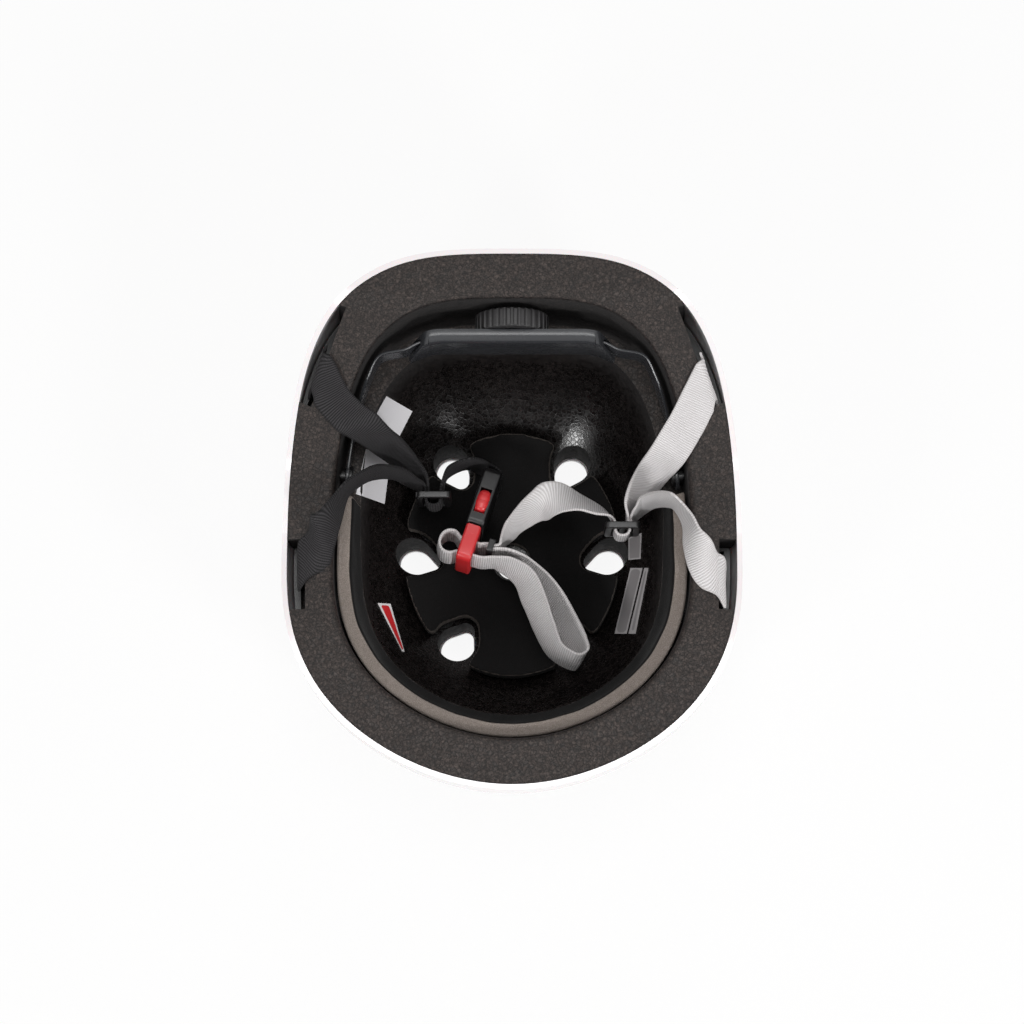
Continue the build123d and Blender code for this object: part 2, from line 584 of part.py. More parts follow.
def strap(index, rows):
    """A strap from its hem under an anchor plate, over the rim and down to a divider slot."""
    place = notch_plane(notch_angles()[index])
    shift = place.to_local_coords(wall_point(EXIT_ANGLES[index], CROWN_DEPTH, LINER_INSET, 0)).X
    open_rows = stations(rows)
    bend = NOTCH_DEPTH - ANCHOR_SET
    lip = place.from_local_coords(Vector(shift, -NOTCH_DEPTH, 0))
    slope = (rim_height(lip.Y + 1) - rim_height(lip.Y - 1)) / 2
    face = rim_height(lip.Y) - LINER_DROP - lip.Z
    rise = face + WEB_WALL / 2 + 2 * WEB_CLEARANCE
    low = -NOTCH_HEIGHT - ANCHOR_WALL - ANCHOR_FIT
    local = [(-ANCHOR_SET, low - HEM_LENGTH / 2), (-ANCHOR_SET, low / 2), (-ANCHOR_SET, rise - bend - HEM_WALL / 2)]
    for angle in BEND_ANGLES:
        turn = math.radians(angle)
        local.append((bend * math.cos(turn) - NOTCH_DEPTH, rise - bend * (1 - math.sin(turn))))
    across = place.x_dir if place.x_dir.dot(open_rows[0][1]) > 0 else place.x_dir * -1
    across = Vector(across.X, across.Y, across.Y * slope).normalized()
    places = [(place.from_local_coords(Vector(shift, y, z)), across) for y, z in local]
    slot = slot_place(index // 2, 1)
    side = LAYER_OFFSET * (1 if index in (0, 3) else -1)
    lead = Vector(side, STRAP_GAP / 2 + DIVIDER_WALL + WEB_WALL, 0)
    end = Vector(side, STRAP_GAP / 2, 0)
    places += open_rows + [(slot + lead, UP), (slot + end, UP)]
    hem = place * Pos(shift, -ANCHOR_SET, low - HEM_LENGTH / 2) * Box(HEM_WIDTH, HEM_WALL, HEM_LENGTH)
    return ribbon(places, WEB_WALL, WEB_WIDTH) + hem


def strap_anchors():
    """The plates that hold the webbing in the foam, one in each notch."""
    inside = dome(LINER_INSET + ANCHOR_FIT, LINER_INSET + ANCHOR_FIT)
    level = Pos(0, 0, -NOTCH_HEIGHT - ANCHOR_WALL / 2)
    plates = []
    for index, angle in enumerate(notch_angles()):
        width = notch_width(index) + 2 * (NOTCH_SHOULDER - ANCHOR_FIT)
        plate = Pos(0, ANCHOR_FIT - NOTCH_DEPTH / 2, 0) * Box(width, NOTCH_DEPTH, ANCHOR_WALL)
        plate -= Pos(0, -ANCHOR_SET, 0) * Box(
            notch_width(index) - 2 * ANCHOR_SLOT_END, WEB_WALL + 2 * WEB_CLEARANCE, ANCHOR_WALL + OVERRUN)
        plates += ((notch_plane(angle) * level * plate) & inside).solids()
    return Compound(children=plates)


def slot_place(right, outer):
    """Middle of a divider's slot: outer is the one nearer the ear."""
    centre = bowl_point(*DIVIDER_SHARES[right])
    step = (DIVIDER_LENGTH - 2 * DIVIDER_SLOT) / 3 + DIVIDER_SLOT
    away = 1 if right else -1
    return centre + Vector(away * (1 if outer else -1) * step / 2, 0, 0)


def divider(right):
    """Two-slot divider, standing on edge."""
    body = extrude(Plane.XZ * RectangleRounded(DIVIDER_LENGTH, DIVIDER_HEIGHT, DIVIDER_CORNER),
                   DIVIDER_WALL / 2, both=True)
    rims = body.faces().sort_by(Axis.Y)[0].edges() + body.faces().sort_by(Axis.Y)[-1].edges()
    body = fillet(rims, DIVIDER_EDGE)
    centre = bowl_point(*DIVIDER_SHARES[right])
    body = Pos(centre) * body
    for outer in (0, 1):
        body -= Pos(slot_place(right, outer)) * Box(DIVIDER_SLOT, 2 * DIVIDER_WALL, WEB_WIDTH + 2 * SLOT_SPARE)
    return body


def bar_loop(right):
    """Webbing from a divider's outer slot round its middle bar and back out of the inner slot."""
    outer, inner = slot_place(right, 1), slot_place(right, 0)
    middle = (outer + inner) / 2
    depth = DIVIDER_WALL / 2 + WEB_WALL
    return [(outer - Vector(0, STRAP_GAP / 2, 0), UP), (outer - Vector(0, DIVIDER_WALL / 2, 0), UP),
            (outer * 2 / 3 + middle / 3 - Vector(0, depth + WEB_WALL / 2, 0), UP),
            (middle - Vector(0, depth + WEB_WALL, 0), UP),
            (inner * 2 / 3 + middle / 3 - Vector(0, depth + WEB_WALL / 2, 0), UP),
            (inner - Vector(0, DIVIDER_WALL / 2, 0), UP), (inner + Vector(0, DIVIDER_WALL / 2, 0), UP)]


def buckle_plane():
    """The buckle's own axes: x is l, y is w, and z is against t."""
    along = heading(BUCKLE_TURN, BUCKLE_TILT)
    side = UP.cross(along).normalized()
    return Plane(origin=bowl_point(*BUCKLE_SHARES), x_dir=along, z_dir=side * -1)


def at_buckle(place, l, t):
    """A point beside the buckle."""
    return place.from_local_coords(Vector(l, 0, -t))


def plug_slots():
    """Places along l of the plug's two slots."""
    first = SOCKET_SEAT + PLUG_GAP + 2 * PRONG_PIVOT_RADIUS + SOCKET_WALL * 2 / 3 + WEB_SLOT / 2
    return first, first + WEB_SLOT + PLUG_BAR


def chin_strap_left(place):
    """Webbing from the left divider, round the socket's end bar and back on itself."""
    up = place.y_dir
    wrap = [(at_buckle(place, l * WEB_WIDTH, t * WEB_WIDTH), up) for l, t in SOCKET_WRAP_SHARES]
    return ribbon(bar_loop(0) + stations(CHIN_LEFT_SHARES) + wrap, WEB_WALL, WEB_WIDTH)


def chin_strap_right(place):
    """Webbing from the right divider to the plug's first slot."""
    down = place.y_dir * -1
    first = plug_slots()[0]
    end = PLUG_DEPTH / 2 + STRAP_GAP
    ends = [(at_buckle(place, l * WEB_WIDTH, t * WEB_WIDTH), down) for l, t in CHIN_END_SHARES]
    ends += [(at_buckle(place, first, end + WEB_WALL), down), (at_buckle(place, first, end), down)]
    return ribbon(bar_loop(1) + stations(CHIN_RIGHT_SHARES) + ends, WEB_WALL, WEB_WIDTH)


def chin_strap_tail(place):
    """Loose end: through the plug, out in a long fold and back to the keeper."""
    up = place.y_dir
    first, second = plug_slots()
    out = PLUG_DEPTH / 2
    places = [(at_buckle(place, first, out), up), (at_buckle(place, first, 0), up)]
    places += [(at_buckle(place, first + l * WEB_WIDTH, t * WEB_WIDTH), up) for l, t in TAIL_LOOP_SHARES]
    places += [(at_buckle(place, second, -out), up), (at_buckle(place, second, 0), up)]
    places += [(at_buckle(place, l * WEB_WIDTH, t * WEB_WIDTH), up) for l, t in TAIL_EXIT_SHARES]
    places += stations(TAIL_OUT_SHARES) + stations(TAIL_TURN_SHARES) + stations(TAIL_BACK_SHARES)
    places += [(at_buckle(place, l * WEB_WIDTH, t * WEB_WIDTH), up) for l, t in TAIL_END_SHARES]
    return ribbon(places, WEB_WALL, WEB_WIDTH)


def web_slot(l, slot):
    """Tool for a slot through the buckle, on the sketch of l and w."""
    return Pos(l, 0) * Box(slot, WEB_WIDTH + 2 * SLOT_SPARE, BUCKLE_DEPTH + OVERRUN)


def socket():
    """Female half: open box with two side windows and a webbing bar."""
    end = SOCKET_SEAT - SOCKET_LENGTH
    body = Pos((SOCKET_SEAT + end) / 2, 0) * extrude(
        RectangleRounded(SOCKET_LENGTH, BUCKLE_WIDTH, BUCKLE_CORNER), BUCKLE_DEPTH / 2, both=True)
    body = fillet(body.faces().sort_by(Axis.Z)[0].edges() + body.faces().sort_by(Axis.Z)[-1].edges(), BUCKLE_EDGE)
    room = SOCKET_ROOM + OVERRUN
    height = BUCKLE_DEPTH - 2 * SOCKET_WALL
    body -= Pos(SOCKET_SEAT - SOCKET_ROOM + room / 2, 0) * Box(room, BUCKLE_WIDTH - 2 * SOCKET_WALL, height)
    body -= Pos(SOCKET_SEAT - WINDOW_SET - WINDOW_LENGTH / 2, 0) * Box(WINDOW_LENGTH, BUCKLE_WIDTH + OVERRUN, height)
    body -= web_slot(end + WEB_BAR + WEB_SLOT / 2, WEB_SLOT)
    for face in (-1, 1):
        body -= Pos(end + WEB_BAR / 2 - OVERRUN / 2, 0, face * (WEB_BAR_DEPTH + OVERRUN) / 2) * Box(
            WEB_BAR + OVERRUN + WEB_SLOT / 2, WEB_WIDTH + 2 * SLOT_SPARE, OVERRUN)
    return body


def prong_outline(fit):
    """Prong with its pivot, pointing back into the socket, on the upper side."""
    pivot = SOCKET_SEAT + PLUG_GAP + PRONG_PIVOT_SET
    catch = SOCKET_SEAT - WINDOW_SET - PRONG_CATCH
    tip = catch - PRONG_PAD
    inner, outer = PRONG_OUT - PRONG_ARM / 2, PRONG_OUT + PRONG_ARM / 2
    top = BUCKLE_WIDTH / 2 - PRONG_FIT
    arm = Polyline((pivot, PRONG_OUT - PRONG_NECK / 2), (SOCKET_SEAT - PRONG_FIT * 3, inner), (tip, inner),
                   (tip, outer), (tip + PRONG_NOSE, top), (catch - PRONG_NOSE / 2, top), (catch, outer),
                   (SOCKET_SEAT - PRONG_FIT * 3, outer), (pivot, PRONG_OUT + PRONG_NECK / 2), close=True)
    return make_face(arm) + Pos(pivot, PRONG_OUT) * Circle(PRONG_PIVOT_RADIUS + fit)


def prong(upper):
    """One squeeze prong."""
    thickness = BUCKLE_DEPTH - 2 * SOCKET_WALL - 2 * PRONG_FIT
    body = extrude(prong_outline(0), thickness / 2, both=True)
    return body if upper else body.mirror(Plane.XZ)


def plug():
    """Male half: base with two webbing slots, guide tongue and the pockets of the prongs."""
    face = SOCKET_SEAT + PLUG_GAP
    half = BUCKLE_WIDTH / 2
    outline = Polyline((face, -half), (face + PLUG_LENGTH, PLUG_TAPER - half), (face + PLUG_LENGTH, half - PLUG_TAPER),
                       (face, half), close=True)
    sketch = make_face(outline)
    sketch = fillet(sketch.vertices().sort_by(Axis.X)[-2:], BUCKLE_CORNER)
    body = extrude(sketch, PLUG_DEPTH / 2, both=True)
    body = fillet(body.faces().sort_by(Axis.Z)[0].edges() + body.faces().sort_by(Axis.Z)[-1].edges(), BUCKLE_EDGE)
    for place in plug_slots():
        body -= web_slot(place, WEB_SLOT)
    thickness = BUCKLE_DEPTH - 2 * SOCKET_WALL - 2 * PRONG_FIT
    body += Pos(face + WEB_BAR / 2 - GUIDE_LENGTH / 2, 0) * Box(GUIDE_LENGTH + WEB_BAR, GUIDE_WIDTH, thickness)
    pivot = face + PRONG_PIVOT_SET
    swing = (PRONG_ARM / 2 + PRONG_PIVOT_SET * math.tan(math.radians(PRONG_SWING))) + PRONG_FIT
    for side in (-1, 1):
        pocket = Pos(pivot, side * PRONG_OUT) * Cylinder(PRONG_PIVOT_RADIUS + PRONG_PIVOT_FIT, thickness + PRONG_FIT)
        throat = Pos(pivot - OVERRUN / 2, side * PRONG_OUT) * Box(OVERRUN, 2 * swing, thickness + PRONG_FIT)
        body = body - pocket - throat
    return body


def keeper():
    """Sleeve that holds the loose end beside the plug."""
    l, t = (share * WEB_WIDTH for share in KEEPER_PLACE_SHARES)
    inner_l, inner_w = KEEPER_ROOM, WEB_WIDTH + 2 * KEEPER_SPARE
    ring = Box(inner_l + 2 * KEEPER_WALL, inner_w + 2 * KEEPER_WALL, KEEPER_LENGTH)
    ring = fillet(ring.edges().filter_by(Axis.Z), KEEPER_WALL) - Box(inner_l, inner_w, KEEPER_LENGTH + OVERRUN)
    return Pos(l, 0, -t) * ring


def dial_plane(depth):
    """Plane across the dial's axis: x to the wearer's left, y up, z to the back of the head."""
    return Plane(origin=(0, depth, DIAL_Z), x_dir=(-1, 0, 0), z_dir=(0, 1, 0))


def dial_knob():
    """Knurled knob, dished at the back and hollow over the detent boss."""
    grip = Circle(KNOB_RADIUS) - PolarLocations(KNOB_RADIUS + KNURL_RADIUS / 3, KNURL_COUNT) * Circle(KNURL_RADIUS)
    blank = Pos(0, 0, KNOB_DEPTH / 2) * Cylinder(KNOB_RADIUS, KNOB_DEPTH)
    knob = extrude(grip, KNOB_DEPTH) & chamfer(blank.edges().filter_by(GeomType.CIRCLE), KNOB_EDGE)
    knob -= Pos(0, 0, KNOB_DEPTH - KNOB_DISH) * extrude(Circle(KNOB_RADIUS - KNOB_RIM), KNOB_DISH + OVERRUN)
    knob -= extrude(Circle(KNOB_HOLLOW_RADIUS), KNOB_HOLLOW)
    knob -= extrude(Circle(SHAFT_RADIUS + SHAFT_FIT), SHAFT_DEPTH)
    knob -= extrude(Circle(SCREW_RADIUS + SHAFT_FIT), KNOB_DEPTH)
    return dial_plane(KNOB_Y) * knob


def dial_screw():
    """Screw that holds the knob on the shaft."""
    head_z = KNOB_DEPTH - KNOB_DISH + SHAFT_FIT
    screw = Pos(0, 0, head_z) * extrude(Circle(SCREW_HEAD_RADIUS), SCREW_HEAD)
    screw -= Pos(0, 0, head_z + SCREW_HEAD) * (Box(SCREW_HEAD_RADIUS, SCREW_DRIVE, SCREW_HEAD)
                                               + Box(SCREW_DRIVE, SCREW_HEAD_RADIUS, SCREW_HEAD))
    screw += Pos(0, 0, head_z - SCREW_LENGTH) * extrude(Circle(SCREW_RADIUS), SCREW_LENGTH + SCREW_HEAD / 3)
    return dial_plane(KNOB_Y) * screw


def pinion_outline():
    """Toothed outline of the pinion, one tooth pointing up."""
    pitch = GEAR_MODULE * PINION_TEETH / 2
    tip, root = pitch + GEAR_MODULE * ADDENDUM_SHARE, pitch - GEAR_MODULE * DEDENDUM_SHARE
    half = (math.pi * GEAR_MODULE / 2 - GEAR_BACKLASH) / 2
    slope = math.tan(math.radians(GEAR_FLANK))
    points = []
    for i in range(PINION_TEETH):
        middle = math.pi / 2 + 2 * math.pi * i / PINION_TEETH
        for radius, side in ((root, -1), (pitch, -1), (tip, -1), (tip, 1), (pitch, 1), (root, 1)):
            wide = half + (pitch - radius) * slope * (1 if radius > pitch else 1 / 2)
            turn = middle + side * wide / radius
            points.append((radius * math.cos(turn), radius * math.sin(turn)))
    return make_face(Polyline(*points, close=True))


def pinion():
    """Pinion with its shaft up into the knob and a pilot in the cover."""
    toothed = extrude(pinion_outline(), 2 * RACK_WALL + LAYER_GAP)
    length = BASE_WALL + RUNNING_GAP + SHAFT_DEPTH + LAYER_GAP - SHAFT_FIT
    shaft = Pos(0, 0, 2 * RACK_WALL + LAYER_GAP) * extrude(Circle(SHAFT_RADIUS), length)
    bore = Pos(0, 0, 2 * RACK_WALL + LAYER_GAP) * extrude(Circle(SCREW_RADIUS + SHAFT_FIT), length)
    pilot = extrude(Circle(PILOT_RADIUS), -PILOT_LENGTH - LAYER_GAP)
    return dial_plane(PINION_Y) * (toothed + shaft - bore + pilot)


def front_plane(depth):
    """Plane across the dial's axis: x to the wearer's right, y up, extruding forward."""
    return Plane(origin=(0, depth, DIAL_Z), x_dir=(1, 0, 0), z_dir=(0, -1, 0))


def rack(right):
    """Slotted rack: the right one runs over the pinion, the left one under it."""
    pitch = GEAR_MODULE * PINION_TEETH / 2
    tooth = math.pi * GEAR_MODULE
    half = (tooth / 2 - GEAR_BACKLASH) / 2
    slope = math.tan(math.radians(GEAR_FLANK))
    crest, root = pitch - GEAR_MODULE * ADDENDUM_SHARE, pitch + GEAR_MODULE * DEDENDUM_SHARE
    clear = pitch + GEAR_MODULE + RUNNING_GAP
    far = clear + TIGHTEN_TRAVEL
    end = clear + RACK_LIP
    plate = Pos((end - RACK_REACH) / 2, 0) * Rectangle(end + RACK_REACH, BAND_HEIGHT)
    plate -= Pos((clear - far) / 2, (root - clear) / 2) * Rectangle(clear + far, root + clear)
    phase = tooth / 2 if right else 0
    for i in range(-int(far / tooth), 2):
        middle = i * tooth + phase
        low, high = half + (root - pitch) * slope, half - (pitch - crest) * slope
        back = root + RACK_WALL / 2
        plate += make_face(Polyline((middle - low, back), (middle - low, root), (middle - high, crest),
                                    (middle + high, crest), (middle + low, root), (middle + low, back), close=True))
    plate = plate.mirror(Plane.YZ) if right else plate.mirror(Plane.XZ)
    depth = PINION_Y + RACK_WALL if right else PINION_Y + 2 * RACK_WALL + LAYER_GAP
    return front_plane(depth) * extrude(plate, RACK_WALL, dir=(0, 0, 1))


def plan_strip(near, far, bend):
    """Plan of a strip between two depths: straight in the middle, both ends bent forward."""
    half = HOUSING_FLAT / 2
    strip = Pos(0, (near + far) / 2) * Rectangle(HOUSING_FLAT, far - near)
    for side in (-1, 1):
        start = 90 if side < 0 else 90 - bend
        arcs = [CenterArc((side * half, TIP_CENTRE_Y), depth - TIP_CENTRE_Y, start, bend) for depth in (near, far)]
        strip += make_face(arcs + [Line(arcs[0] @ 0, arcs[1] @ 0), Line(arcs[0] @ 1, arcs[1] @ 1)])
    return strip


def housing_layer(near, far, height, bend):
    """A plan strip raised to a height about the dial's axis."""
    return Pos(0, 0, DIAL_Z) * extrude(plan_strip(near, far, bend), height / 2, both=True)


def dial_housing():
    """Cover of the adjuster: a flat case with bent, open ends that the bands run into."""
    front, rear = COVER_Y - COVER_WALL, BASE_Y + BASE_WALL
    case = housing_layer(front, rear, HOUSING_HEIGHT, TIP_BEND)
    top, low, high = HOUSING_TOP_WIDTH / 2, HOUSING_BOTTOM_WIDTH / 2, HOUSING_HEIGHT / 2
    outline = make_face(Polyline((-low, -high), (low, -high), (top, high), (-top, high), close=True))
    outline = fillet(outline.vertices(), HOUSING_CORNER)
    case &= front_plane(SHELL_LENGTH / 2) * extrude(outline, SHELL_LENGTH / 2)
    case -= housing_layer(COVER_Y, BASE_Y, BAND_HEIGHT + 2 * BAND_ROOM, TIP_BEND + OVERRUN)
    opening = Box(BASE_LENGTH + 2 * BASE_FIT, 2 * BASE_WALL, BASE_HEIGHT + 2 * BASE_FIT)
    case -= Pos(0, BASE_Y + BASE_WALL, DIAL_Z) * opening
    pilot = extrude(Circle(PILOT_RADIUS + SHAFT_FIT), PILOT_LENGTH + SHAFT_FIT)
    return case - front_plane(COVER_Y) * pilot


def dial_base():
    """Plate that closes the housing behind, with the detent boss under the knob."""
    plate = extrude(RectangleRounded(BASE_LENGTH, BASE_HEIGHT, BASE_WALL), BASE_WALL)
    ring = Circle(BOSS_RADIUS) - PolarLocations(BOSS_RADIUS, DETENT_TEETH) * Circle(DETENT_DEPTH)
    plate += Pos(0, 0, BASE_WALL) * extrude(ring, BOSS_HEIGHT)
    return dial_plane(BASE_Y) * (plate - extrude(Circle(SHAFT_RADIUS + SHAFT_FIT), BASE_WALL + BOSS_HEIGHT))


def pin_plane(side):
    """Plane on the liner's wall at a band's pin: z out into the foam, x up."""
    angle = BAND_ANCHOR_ANGLE if side > 0 else 180 - BAND_ANCHOR_ANGLE
    point = wall_point(angle, BAND_ANCHOR_Z, CAVITY_INSET, RECESS_Z)
    ahead = wall_point(angle + 1, BAND_ANCHOR_Z, CAVITY_INSET, RECESS_Z)
    return Plane(origin=point, x_dir=UP, z_dir=(ahead - point).normalized().cross(UP))


def band(side):
    """Band from the adjuster's open end along the wall to its eye at the pin."""
    centre = Vector(side * HOUSING_FLAT / 2, TIP_CENTRE_Y, DIAL_Z)
    radius = (COVER_Y + BASE_Y) / 2 - TIP_CENTRE_Y
    places = [(Vector(side * (RACK_REACH + RACK_END_GAP), centre.Y + radius, DIAL_Z), UP)]
    for i in range(1, TIP_STEPS + 1):
        turn = math.radians(90 - side * TIP_BEND * i / TIP_STEPS)
        places.append((centre + Vector(math.cos(turn), math.sin(turn), 0) * radius, UP))
    inset = CAVITY_INSET + BAND_WALL_GAP + BAND_WALL / 2
    for angle, share in zip(BAND_ANGLES, BAND_RISE_SHARES):
        z = BAND_ANCHOR_Z + share * (DIAL_Z - BAND_ANCHOR_Z)
        places.append((wall_point(angle if side > 0 else 180 - angle, z, inset, RECESS_Z), UP))
    eye_place = pin_plane(side) * Pos(0, 0, -BAND_WALL_GAP - BAND_WALL / 2)
    places.append((eye_place.position, UP))
    eye = eye_place * Cylinder(BAND_EYE_RADIUS, BAND_EYE_WALL)
    return ribbon(places, BAND_WALL, BAND_HEIGHT) + eye - eye_place * Cylinder(PIN_RADIUS + PIN_FIT, OVERRUN)


def band_anchor_pins():
    """Mushroom pins that hold the ends of the bands in the foam."""
    inner = BAND_WALL_GAP + (BAND_WALL + BAND_EYE_WALL) / 2 + PIN_GAP
    outer = BAND_WALL_GAP + (BAND_WALL - BAND_EYE_WALL) / 2 - PIN_GAP
    pin = Pos(0, 0, -inner) * extrude(Circle(PIN_RADIUS), PIN_LENGTH + inner)
    pin += Pos(0, 0, -PIN_COLLAR_GAP) * extrude(Circle(PIN_COLLAR_RADIUS), PIN_COLLAR_GAP - outer)
    head = Pos(0, 0, -inner) * extrude(Circle(PIN_HEAD_RADIUS), -PIN_HEAD)
    pin += fillet(head.faces().sort_by(Axis.Z)[0].edges(), PIN_HEAD / 2)
    return Compound(children=[pin_plane(side) * pin for side in (-1, 1)])


def build_parts():
    """Every part by the name of its node."""
    place = buckle_plane()
    tables = (REAR_LEFT_SHARES, FRONT_LEFT_SHARES, REAR_RIGHT_SHARES, FRONT_RIGHT_SHARES)
    names = ("strap_rear_left", "strap_front_left", "strap_rear_right", "strap_front_right")
    parts = {"outer_shell": outer_shell(), "eps_liner": liner()}
    parts["brow_pad"] = brow_pad()
    parts["crown_pad"] = crown_pad()
    parts["pad_hook_patches"] = hook_patches()
    for index, (name, rows) in enumerate(zip(names, tables)):
        parts[name] = strap(index, rows)
    parts["strap_anchors"] = strap_anchors()
    parts["divider_left"] = divider(0)
    parts["divider_right"] = divider(1)
    parts["chin_strap_left"] = chin_strap_left(place)
    parts["chin_strap_right"] = chin_strap_right(place)
    parts["chin_strap_tail"] = chin_strap_tail(place)
    parts["strap_keeper"] = place * keeper()
    parts["buckle_female"] = place * socket()
    parts["buckle_male"] = place * plug()
    parts["prong_upper"] = place * prong(1)
    parts["prong_lower"] = place * prong(0)
    parts["dial_housing"] = dial_housing()
    parts["dial_base"] = dial_base()
    parts["dial_knob"] = dial_knob()
    parts["pinion"] = pinion()
    parts["dial_screw"] = dial_screw()
    parts["rack_left"] = rack(0)
    parts["rack_right"] = rack(1)
    parts["band_left"] = band(-1)
    parts["band_right"] = band(1)
    parts["band_anchor_pins"] = band_anchor_pins()
    return parts


if __name__ == "__main__":
    os.makedirs("parts", exist_ok=True)
    for node, shape in build_parts().items():
        export_step(shape, f"parts/{node}.step")
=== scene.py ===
import logging
import math
from dataclasses import dataclass, field
from enum import Enum
from typing import Callable, Iterable, Sequence

import bmesh
import bpy
from mathutils import Matrix, Vector, noise
from mathutils.bvhtree import BVHTree


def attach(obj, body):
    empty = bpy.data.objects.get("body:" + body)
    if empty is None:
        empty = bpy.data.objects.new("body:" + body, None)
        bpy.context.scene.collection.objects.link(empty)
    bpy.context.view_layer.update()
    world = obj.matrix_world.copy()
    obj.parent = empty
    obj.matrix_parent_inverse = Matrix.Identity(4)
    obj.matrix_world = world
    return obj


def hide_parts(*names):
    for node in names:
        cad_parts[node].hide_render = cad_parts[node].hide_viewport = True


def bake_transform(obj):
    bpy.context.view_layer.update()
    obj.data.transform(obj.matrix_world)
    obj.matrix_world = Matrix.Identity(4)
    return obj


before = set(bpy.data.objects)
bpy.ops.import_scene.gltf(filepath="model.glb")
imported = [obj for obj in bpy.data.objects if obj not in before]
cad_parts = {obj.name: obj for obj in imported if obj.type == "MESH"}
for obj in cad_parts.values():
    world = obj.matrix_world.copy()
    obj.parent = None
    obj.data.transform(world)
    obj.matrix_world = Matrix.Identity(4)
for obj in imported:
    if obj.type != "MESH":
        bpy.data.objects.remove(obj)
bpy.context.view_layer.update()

LOG = logging.getLogger("skate_helmet")

MM = 0.001
IMAGE_SIDE = 1024
FLAT_ANGLE = math.radians(0.6)      # faces closer than this to one plane are one face
UPWARD, FORWARD = 0.9, 0.6          # normals that count as the top and as the front
TOP_LAYER = 0.05 * MM               # how far below the highest point an edge counts as the top
CREST_STEPS = 8
MAX_LEAN = 0.75                     # of a strip's crossing line along its course

Colour = tuple[float, float, float, float]
Place = tuple[float, float, float]
Rows = tuple[tuple[float, ...], ...]
Operand = Callable[["Value", "Value | float"], "Value"]


class Body(Enum):
    """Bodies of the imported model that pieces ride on."""

    HELMET = "helmet"
    CRADLE = "cradle"
    DIAL = "dial"
    PLUG = "plug"
    UPPER_PRONG = "upper_prong"
    LOWER_PRONG = "lower_prong"


class Slot(Enum):
    """Material slots of the record."""

    FOAM = "foam"
    PAD_CLOTH = "pad_cloth"
    WEBBING_BLACK = "webbing_black"
    WEBBING_WHITE = "webbing_white"
    TRIM_BLACK = "trim_black"
    BUCKLE_RED = "buckle_red"
    ADJUSTER_GREY = "adjuster_grey"
    KNOB_BLACK = "knob_black"


def tone(code: str) -> Colour:
    """A colour as the shader wants it.

    Args:
        code: Six hexadecimal digits, as a screen shows the colour.

    Returns:
        Linear red, green and blue, and full alpha.
    """
    shown = [int(code[i:i + 2], 16) / 255 for i in (0, 2, 4)]
    linear = [c / 12.92 if c <= 0.04045 else ((c + 0.055) / 1.055) ** 2.4 for c in shown]
    return linear[0], linear[1], linear[2], 1.0


def tones(codes: str) -> list[Colour]:
    """Colours whose codes are divided by spaces."""
    return [tone(code) for code in codes.split()]


def math_method(operation: str, swapped: bool = False) -> Operand:
    """A method that puts one Math node on two values.

    Args:
        operation: The node's operation.
        swapped: The other value comes first.

    Returns:
        The method.
    """
    def act(self: "Value", other: "Value | float") -> "Value":
        """One Math node on this value and another."""
        pair = (other, self) if swapped else (self, other)
        return self.graph.node("ShaderNodeMath", {"operation": operation}, dict(enumerate(pair)))
    return act


class Value:
    """A shader socket that takes part in arithmetic."""

    def __init__(self, graph: "Graph", socket: bpy.types.NodeSocket) -> None:
        """Wraps one output socket of a graph."""
        self.graph = graph
        self.socket = socket

    __add__, __radd__ = math_method("ADD"), math_method("ADD", True)
    __sub__, __rsub__ = math_method("SUBTRACT"), math_method("SUBTRACT", True)
    __mul__ = math_method("MULTIPLY")
    least, most = math_method("MINIMUM"), math_method("MAXIMUM")

    def sine(self) -> "Value":
        """Sine of an angle in radians."""
        return self.graph.node("ShaderNodeMath", {"operation": "SINE"}, {0: self})

    def step(self, low: float, high: float) -> "Value":
        """A soft step from 0 at low to 1 at high."""
        return self.graph.node(
            "ShaderNodeMapRange", {"interpolation_type": "SMOOTHSTEP"},
            {"Value": self, "From Min": low, "From Max": high, "To Min": 0.0, "To Max": 1.0})


